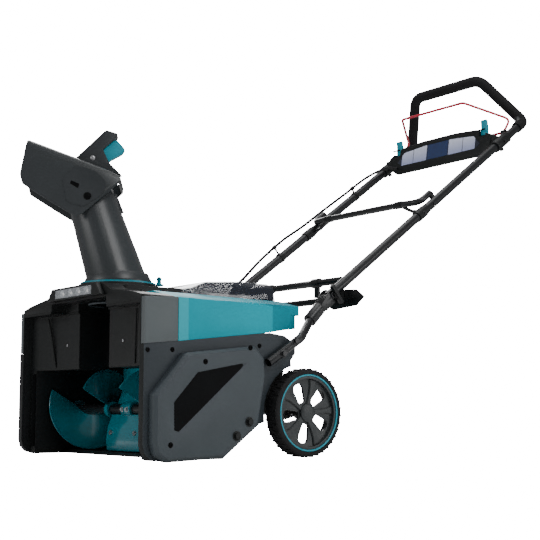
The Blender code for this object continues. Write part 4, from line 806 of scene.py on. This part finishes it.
def copier(name):
    """Geometry Nodes tree: a part on each point, turned to the point's own directions."""
    tree = bpy.data.node_groups.new(name, "GeometryNodeTree")
    face = tree.interface
    for label, kind in (("Geometry", "NodeSocketGeometry"), ("Part", "NodeSocketObject"),
                        ("Finish", "NodeSocketMaterial")):
        face.new_socket(name=label, in_out="INPUT", socket_type=kind)
    face.new_socket(name="Geometry", in_out="OUTPUT", socket_type="NodeSocketGeometry")
    add = tree.nodes.new
    link = tree.links.new
    given = add("NodeGroupInput")
    result = add("NodeGroupOutput")
    part = add("GeometryNodeObjectInfo")
    placed = add("GeometryNodeInstanceOnPoints")
    turns = []
    for label, axis in (("facing", "Z"), ("upward", "X")):
        wanted = add("GeometryNodeInputNamedAttribute")
        wanted.data_type = "FLOAT_VECTOR"
        wanted.inputs["Name"].default_value = label
        turning = add("FunctionNodeAlignRotationToVector")
        turning.axis = axis
        link(wanted.outputs["Attribute"], turning.inputs["Vector"])
        turns.append(turning)
    turns[1].pivot_axis = "Z"
    link(turns[0].outputs["Rotation"], turns[1].inputs["Rotation"])
    solid = add("GeometryNodeRealizeInstances")
    dress = add("GeometryNodeSetMaterial")
    link(given.outputs["Geometry"], placed.inputs["Points"])
    link(given.outputs["Part"], part.inputs["Object"])
    link(part.outputs["Geometry"], placed.inputs["Instance"])
    link(turns[1].outputs["Rotation"], placed.inputs["Rotation"])
    link(placed.outputs["Instances"], solid.inputs["Geometry"])
    link(solid.outputs["Geometry"], dress.inputs["Geometry"])
    link(given.outputs["Finish"], dress.inputs["Material"])
    link(dress.outputs["Geometry"], result.inputs["Geometry"])
    return tree


COPIER = copier("copies_on_points")
SOCKETS = {item.name: item.identifier for item in COPIER.interface.items_tree if item.in_out == "INPUT"}


def copies(name, part_mesh, places, body, slot_name):
    """Copies of a part, made at the origin and facing +Z, at (point, facing, upward) places on one body."""
    part = linked(name + "_part", part_mesh)
    cloud = bpy.data.meshes.new(name + "_points")
    cloud.from_pydata([tuple(place[0]) for place in places], [], [])
    for label, column in (("facing", 1), ("upward", 2)):
        layer = cloud.attributes.new(label, "FLOAT_VECTOR", "POINT")
        for item, place in zip(layer.data, places):
            item.vector = place[column]
    draft = linked(name + "_cloud", cloud)
    nodes = draft.modifiers.new("copies", "NODES")
    nodes.node_group = COPIER
    nodes[SOCKETS["Part"]] = part
    nodes[SOCKETS["Finish"]] = FINISHES[slot_name]
    mesh = applied(draft)
    for spare in (draft, part):
        bpy.data.objects.remove(spare, do_unlink=True)
    return finished(name, mesh, body, slot_name)


print("inputs:", SOCKETS)

# %% [markdown]
# ## Screws and bolts
# A pan-head screw has a domed head with a round socket, and a bolt a chunky hexagon on a flange. Both are
# turned or extruded at the origin, facing up.

# %% Screw and bolt heads
UP = Vector((0.0, 0.0, 1.0))
FRONT = Vector((0.0, -1.0, 0.0))


def screw_head(radius, height):
    """Domed head with a socket sunk into it, on a flat washer."""
    profile = [(0.0, radius * 1.25), (height * 0.18, radius * 1.25), (height * 0.22, radius)]
    for k in range(1, 7):
        angle = k * math.pi / 14
        profile.append((height * (0.45 + 0.55 * math.sin(angle)), radius * math.cos(angle) ** 0.6))
    recess = radius * 0.55
    profile += [(height, recess), (height * 0.45, recess * 0.9), (height * 0.45, 0.0)]
    return smoothed(turned(profile, Vector(), UP, 24), 35)


def hex_head(radius, height):
    """Hexagon head on a round flange."""
    form = turned([(0.0, radius * 1.35), (height * 0.22, radius * 1.35), (height * 0.3, radius * 0.9)],
                  Vector(), UP, 32)
    ring = [Vector((radius * math.cos(k * math.pi / 3), radius * math.sin(k * math.pi / 3), height * 0.25))
            for k in range(6)]
    head = plate(ring, UP * height * 0.75, radius * 0.09)
    spare = bpy.data.meshes.new("spare")
    head.to_mesh(spare)
    head.free()
    form.from_mesh(spare)
    bpy.data.meshes.remove(spare)
    return smoothed(form, 30)


def facing_side(sign, spots, x):
    """Places on a side wall, facing out."""
    return [(spot(sign * x, y, z), RIGHT * sign, UP.lerp(FRONT, 0.13 * k % 1)) for k,
            (y, z) in enumerate(spots)]


COVER_FACE, WALL_FACE, STUB_FACE = 0.3048, 0.28, 0.301
cover_screws, cover_bolts, wall_screws, stub_bolts = [], [], [], []
for sign in (1, -1):
    cover_screws += facing_side(sign, [(0.052, 0.037), (0.14, 0.212), (0.263, 0.246)], COVER_FACE)
    cover_bolts += facing_side(sign, [(0.26, 0.083), (0.225, 0.053)], COVER_FACE)
    wall_screws += facing_side(sign, [(0.009, 0.234), (0.071, 0.2365), (0.309, 0.253)], WALL_FACE)
    stub_bolts += facing_side(sign, [(0.3625, 0.236), (0.4, 0.267)], STUB_FACE)
copies("cover_screws", screw_head(0.0048, 0.004), cover_screws, "chassis", "black_gloss")
copies("cover_bolts", hex_head(0.008, 0.007), cover_bolts, "chassis", "black_plastic")
copies("wall_screws", screw_head(0.0042, 0.0032), wall_screws, "chassis", "black_gloss")
copies("stub_bolts", hex_head(0.007, 0.006), stub_bolts, "chassis", "black_paint")
shaft_bolts = [(spot(x, AXLE_Y - 0.0185, AXLE_Z), FRONT, UP) for x in (-0.01, 0.01)]
copies("shaft_bolts", hex_head(0.0045, 0.0045), shaft_bolts, "auger", "steel")
print("screws and bolts placed")

# %% [markdown]
# ## Wheels
# The tyre is turned with round shoulders and gets two rows of lugs that meet in a chevron; five raised ribs
# follow the spokes of the rim, and a hub cap covers the axle's end.

# %% Tyres, ribs and hub caps
WHEEL_Y, WHEEL_Z, WHEEL_RADIUS = 0.432, 0.1025, 0.1025
WHEEL_OUTER, WHEEL_INNER = 0.3125, 0.2705
RIM_RADIUS = 0.084
LUGS_IN_ROW = 36
SPOKES = 5
SHOULDER = [(0.006 * (1 - math.cos(k * math.pi / 12)),
             0.008 * math.sin(k * math.pi / 12) - 0.008) for k in range(1, 7)]


def round_axle(degrees):
    """Outward and onward directions at an angle round an axle that runs sideways."""
    angle = math.radians(degrees)
    return Vector((0.0, math.cos(angle), math.sin(angle))), Vector((0.0, -math.sin(angle), math.cos(angle)))


def lug():
    """One tread block: a slanted bar with soft edges, facing +Z."""
    bar = [Vector((-0.0032, -0.0006, -0.0012)), Vector((0.0008, -0.0006, -0.0012)),
           Vector((0.0042, 0.0186, -0.0012)),
           Vector((0.0002, 0.0186, -0.0012))]
    return smoothed(plate(bar, UP * 0.0032, 0.0007), 30)


def rib():
    """Raised rib along one spoke, with its root at the origin and pointing along +X."""
    half = [(0.0, 0.0075), (0.018, 0.0052), (0.04, 0.0058), (0.058, 0.0105)]
    outline = [Vector((x, y, 0.0)) for x, y in half] + [Vector((x, -y, 0.0)) for x, y in reversed(half)]
    return smoothed(plate(outline, UP * 0.0042, 0.0016, 3), 30)


for side, sign in SIDES:
    body = "wheel_" + side
    hub_at = spot(0, WHEEL_Y, WHEEL_Z)
    inner, outer = sign * WHEEL_INNER, sign * WHEEL_OUTER
    tread = WHEEL_RADIUS - 0.0022
    wall = [(inner, RIM_RADIUS + 0.0004), (inner, WHEEL_RADIUS - 0.01)]
    wall += [(inner + sign * inset, tread + rise) for inset, rise in SHOULDER]
    wall += [(outer - sign * inset, tread + rise) for inset, rise in reversed(SHOULDER)]
    wall += [(outer, WHEEL_RADIUS - 0.01), (outer, RIM_RADIUS + 0.0052),
             (outer - sign * 0.0103, RIM_RADIUS + 0.0049),
             (outer - sign * 0.0103, RIM_RADIUS + 0.0004)]
    wall.append(wall[0])
    finished("tyre_body_" + side, smoothed(turned(wall, hub_at), 35), body, "tyre", ["tyre_" + side])
    lugs = []
    for k in range(LUGS_IN_ROW):
        for half, shift in ((1, 0.5), (-1, 0.0)):
            out, onward = round_axle((k + shift) * 360 / LUGS_IN_ROW)
            lugs.append((hub_at + RIGHT * (inner + outer) / 2 + out * (tread - 0.0002), out, onward * half))
    copies("tread_" + side, lug(), lugs, body, "tyre")
    ring = [(outer - sign * inset, RIM_RADIUS + rise) for inset, rise in
            ((0.01, 0.0003), (0.01, 0.0045), (0.0018, 0.0045), (0.001, 0.0038), (0.001, 0.001),
             (0.0016, 0.0003))]
    ring.append(ring[0])
    finished("ring_" + side, smoothed(turned(ring, hub_at, segments=128), 35), body, "teal_plastic",
             ["wheel_ring_" + side])
    ribs = []
    for k in range(SPOKES):
        out = round_axle(148.5 + k * 360 / SPOKES)[0]
        ribs.append((hub_at + RIGHT * (outer - sign * 0.0122) + out * 0.019, RIGHT * sign, out))
    copies("ribs_" + side, rib(), ribs, body, "wheel_black")
    cap = [(outer - sign * inset, radius) for inset, radius in
           ((0.009, 0.0215), (0.006, 0.021), (0.0042, 0.017), (0.0034, 0.011), (0.003, 0.0))]
    finished("hub_cap_" + side, smoothed(turned(cap, hub_at), 35), body, "wheel_black")
print("tyres with", 2 * LUGS_IN_ROW, "lugs each")

# %% [markdown]
# ## The side covers
# A dark field is let into each side cover, where a maker would put its name; here it stays blank. A rubber
# seal closes the seam between the teal cover and the housing.

# %% Dark fields
FIELD = [(0.12, 0.1885), (0.253, 0.213), (0.072, 0.064), (0.061, 0.067), (0.06, 0.125)]
for side, sign in SIDES:
    corners = rounded([spot(sign * 0.3046, y, z) for y, z in FIELD], 0.006)
    finished("field_" + side, smoothed(plate(corners, RIGHT * sign * 0.001, 0.0003)), "chassis",
             "black_gloss")
    seal = [spot(sign * 0.276, y, 0.2462 + 0.1 * y + lift) for y, lift in
            ((0.088, -0.006), (0.33, -0.006), (0.33, 0.01), (0.088, 0.01))]
    finished("cover_seal_" + side, smoothed(plate(seal, RIGHT * sign * -0.008, 0.001)), "chassis",
             "black_plastic")
print("two blank fields and the seals under the cover")

# %% [markdown]
# ## The intake
# A rounded pad fronts each bearing pillar, a rib runs down each upper side wall, and the throat ends in a
# half-round lip that catches the light. Four lamps sit in bright reflectors behind the clear lens.

# %% Pads, ribs and the throat's lip
LIP_RADIUS = 0.0665


def block(low, high, edge):
    """Box between two machine points, with rounded edges."""
    x0, y0, z0 = low
    x1, y1, z1 = high
    outline = [spot(x0, y0, z0), spot(x1, y0, z0), spot(x1, y1, z0), spot(x0, y1, z0)]
    return smoothed(plate(outline, UP * (z1 - z0), edge, 3))


for side, sign in SIDES:
    pad = block((sign * 0.245 - 0.007, 0.0205, 0.02), (sign * 0.245 + 0.007, 0.0245, 0.196), 0.0019)
    finished("pillar_pad_" + side, pad, "chassis", "black_gloss")
    rib_line = [spot(sign * 0.198, 0.0325, 0.329), spot(sign * 0.19, 0.0368, 0.29),
                spot(sign * 0.176, 0.044, 0.21)]
    tube("wall_rib_" + side, rib_line, 0.0022, "chassis", "black_plastic")
lip = []
for k in range(33):
    angle = math.pi * k / 32
    lip.append(spot(LIP_RADIUS * math.cos(angle), CHUTE_Y - LIP_RADIUS * math.sin(angle), 0.354))
tube("throat_lip", lip, 0.0028, "chassis", "charcoal_plastic")
copies("wall_dots", screw_head(0.0028, 0.0016),
       [(spot(x, 0.0448, 0.262), FRONT, UP) for x in (-0.125, 0.125)],
       "chassis", "steel")
print("intake lined")

# %% Lamps
LAMP_Y = -0.006
lamp_places = [(spot(x, LAMP_Y, 0.3762), FRONT, UP) for x in (-0.055, -0.018, 0.018, 0.055)]
cup = [(0.0, 0.0052), (0.0008, 0.006), (0.004, 0.0084), (0.0044, 0.009), (0.004, 0.0096), (0.0, 0.0096)]
copies("reflectors", smoothed(turned(cup, Vector(), UP, 32), 60), lamp_places, "chassis", "chrome")
bead = [(0.0, 0.0036), (0.0012, 0.0034), (0.0022, 0.0022), (0.0026, 0.0)]
copies("lamp_beads", smoothed(turned(bead, Vector(), UP, 24), 60), lamp_places, "chassis", "lamp")
print("four lamps")

# %% [markdown]
# ## Chute and deflector
# A raised pad shaped like a D surrounds the deflector's pin on each side, with a round cap on the pin and a
# small latch beside it. The back of the chute carries a plain label, bent to the chute's own cone.

# %% Pads, pins and label
PIN_AHEAD, PIN_Z = 0.07, 0.6
HALF = 0.069
D_SHAPE = [(0.118, 0.585), (0.128, 0.64), (0.1, 0.672), (0.052, 0.66), (0.024, 0.628), (0.04, 0.602),
           (0.078, 0.575)]
for side, sign in SIDES:
    corners = rounded([aimed(sign * (HALF + 0.0001), CHUTE_Y - d, z) for d, z in D_SHAPE], 0.016, 6)
    outward = CHUTE_YAW.to_3x3() @ RIGHT * sign
    finished("pin_pad_" + side, smoothed(plate(corners, outward * 0.0014, 0.0006)), "deflector",
             "chute_plastic")
    pin_at = aimed(sign * (HALF + 0.0014), CHUTE_Y - PIN_AHEAD, PIN_Z)
    cap = [(0.0, 0.0088), (0.0016, 0.0086), (0.003, 0.0064), (0.0034, 0.0)]
    finished("pin_cap_" + side, smoothed(turned(cap, pin_at, outward, 48)), "chute", "black_gloss")
    latch = [aimed(sign * (HALF + 0.0014), CHUTE_Y - d, z) for d, z in
             ((0.089, 0.628), (0.108, 0.636), (0.11, 0.629), (0.092, 0.618))]
    finished("latch_mark_" + side, smoothed(plate(latch, outward * 0.001, 0.0003)), "deflector",
             "black_gloss")


def chute_skin(angle, height, lift):
    """Point on the chute's outside, by its angle from straight back."""
    rise = height - 0.405
    radius = 0.072 - 0.067 * rise + lift
    return aimed(radius * math.sin(angle), CHUTE_Y - 0.3275 * rise + radius * math.cos(angle), height)


label = bmesh.new()
rows = []
for j in range(7):
    rows.append([label.verts.new(chute_skin(math.radians(-14 + 28 * k / 10), 0.452 + 0.042 * j / 6, 0.0004))
                 for k in range(11)])
for row, following in zip(rows, rows[1:]):
    for k in range(10):
        label.faces.new((row[k], row[k + 1], following[k + 1], following[k]))
bmesh.ops.recalc_face_normals(label, faces=label.faces[:])
finished("plain_label", smoothed(label), "chute", "paper")
screw_at = aimed(0.015, CHUTE_Y - 0.064, 0.703)
outward = CHUTE_YAW.to_3x3() @ RIGHT
copies("trigger_screws", screw_head(0.0048, 0.003), [(screw_at, outward, UP),
       (aimed(-0.015, CHUTE_Y - 0.064, 0.703), -outward, UP)], "deflector", "steel")
print("deflector dressed")

# %% [markdown]
# ## Auger bolts
# The flights are bolted to the paddle, and the paddle to its hub.

# %% Bolts on the paddle
paddle_bolts = []
for turn in (60, 240):
    out, across = round_axle(turn)
    for x in (-0.052, 0.052):
        for facing in (1, -1):
            paddle_bolts.append((spot(x, AXLE_Y, AXLE_Z) + out * 0.058 + across * (0.009 + 0.0016 * facing),
                                 across * facing, out))
copies("paddle_bolts", hex_head(0.0048, 0.004), paddle_bolts, "auger", "steel")
print(len(paddle_bolts), "paddle bolts")

# %% [markdown]
# ## Battery bay, console and small pieces
# The lid gets a latch at its front and two hinge barrels at its rear. Each pack has a coloured band and a
# row of charge lights. Each lever has a collar on the console, and each end of the bail has a bush.

# %% Lid, packs and console
LID_FRONT, LID_REAR = 0.214, 0.465
finished("lid_latch", block((-0.028, LID_FRONT + 0.001, 0.37), (0.028, LID_FRONT + 0.012, 0.379),
                            0.0018), "lid",
         "black_plastic")
for side, sign in SIDES:
    barrel = [(-0.016, 0.0), (-0.016, 0.0034), (0.016, 0.0034), (0.016, 0.0)]
    finished("hinge_barrel_" + side, smoothed(turned(barrel, spot(sign * 0.105, LID_REAR - 0.0045, 0.379)),
                                              35),
             "lid", "black_plastic")
    low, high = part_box("battery_pack_" + side)
    x_mid = (low[0] + high[0]) / 2
    top = high[2]
    pack = "pack_" + side
    y_low, y_high = low[1] - MOUTH, high[1] - MOUTH
    finished("pack_band_" + side, block((x_mid - 0.03, y_low + 0.012, top - 0.0006),
                                        (x_mid + 0.03, y_low + 0.04, top + 0.0008),
                                        0.0005), pack, "teal_plastic")
    lights = [(spot(x_mid + shift, y_high - 0.03, top), UP, RIGHT) for shift in (-0.012, -0.004, 0.004,
                                                                                  0.012)]
    copies("charge_lights_" + side, smoothed(turned([(0.0, 0.0022), (0.0007, 0.002), (0.001, 0.0)],
                                                    Vector(), UP, 16)),
           lights, pack, "lamp")
    lever_x = sign * (TRACK - 0.054)
    finished("lever_collar_" + side, block((lever_x - 0.0145, 1.24, 0.93),
                                           (lever_x + 0.0145, 1.246, 0.934), 0.0012),
             "handle", "black_gloss")
    hub = [(sign * 0.2, 0.0), (sign * 0.2, 0.0078), (sign * 0.214, 0.0078), (sign * 0.2145, 0.007),
           (sign * 0.2145, 0.0)]
    finished("bail_bush_" + side, smoothed(turned(hub, spot(0, *BAIL_PIVOT), segments=40), 35), "bail",
             "black_plastic")
print("bay and console dressed")

# %% Pivot washers and blade ribs
for side, sign in SIDES:
    washer = [(sign * (TRACK + 0.0168), 0.0), (sign * (TRACK + 0.0168), 0.0098),
              (sign * (TRACK + 0.0182), 0.0094),
              (sign * (TRACK + 0.0182), 0.0)]
    finished("pivot_washer_" + side, smoothed(turned(washer, spot(0, *PIVOT), segments=40), 35),
             "knob_" + side, "steel")
grooves = [(spot(x, 0.634 - 0.002, 0.386), FRONT, RIGHT) for x in (0.192, 0.206, 0.22, 0.234, 0.248)]
bar = plate([Vector((-0.0012, -0.015, 0)), Vector((0.0012, -0.015, 0)), Vector((0.0012, 0.015, 0)),
             Vector((-0.0012, 0.015, 0))], UP * 0.0014, 0.0004)
copies("blade_ribs", smoothed(bar), grooves, "tool", "black_plastic")
print("washers and blade ribs placed")

# %% [markdown]
# ## Brackets and clamps of the handle
# The middle bar is held by a foot, a collar and a stay at each end. Bolts stand on both sides of the joint
# between the tubes and at the console, whose clamps have a lug below.

# %% Clamps and bolts
handle_bolts = []
for side, sign in SIDES:
    x = sign * TRACK
    arm = [along(BAR_AT + 0.052, BAR_RISE, sign * BAR_REACH),
           along(BAR_AT + 0.047, 0.004, sign * (TRACK - 0.006))]
    tube("bar_foot_" + side, arm, 0.0078, "handle", "black_paint")
    grip = [along(BAR_AT - 0.004, BAR_RISE + 0.004, sign * (BAR_REACH - 0.06)),
            along(BAR_AT - 0.004, BAR_RISE + 0.004, sign * (BAR_REACH - 0.084))]
    tube("bar_collar_" + side, grip, 0.0106, "handle", "black_plastic")
    tube("bar_stay_" + side, [grip[0] * 0.5 + grip[1] * 0.5,
                              along(BAR_AT - 0.012, 0.004, sign * (TRACK - 0.04)),
                              along(BAR_AT - 0.012, 0.0, sign * (TRACK - 0.012))], 0.005, "handle",
         "black_paint")
    for distance in (LOWER_END - 0.016, LOWER_END + 0.034):
        handle_bolts.append((along(distance, 0, x + sign * (0.015 if distance < LOWER_END else 0.0124)),
                             RIGHT * sign, UP))
    handle_bolts.append((along(0.846, 0, x + sign * 0.0168), RIGHT * sign, UP))
    tube("clamp_lug_" + side, [along(0.838, -0.012, x), along(0.838, -0.0235, x)], 0.0062, "handle",
         "black_plastic")
copies("handle_bolts", hex_head(0.005, 0.0036), handle_bolts, "handle", "black_paint")
print(len(handle_bolts), "bolts on the handle")

# %% [markdown]
# Round nodes are already smooth enough to keep, so they only take their finish.

# %% Finish the nodes that stay
for node_name, node_object in NODES.items():
    if node_name in replaced:
        continue
    node_object.data.materials.clear()
    node_object.data.materials.append(FINISHES[SLOT_OF[node_name]])
print("plain nodes painted")
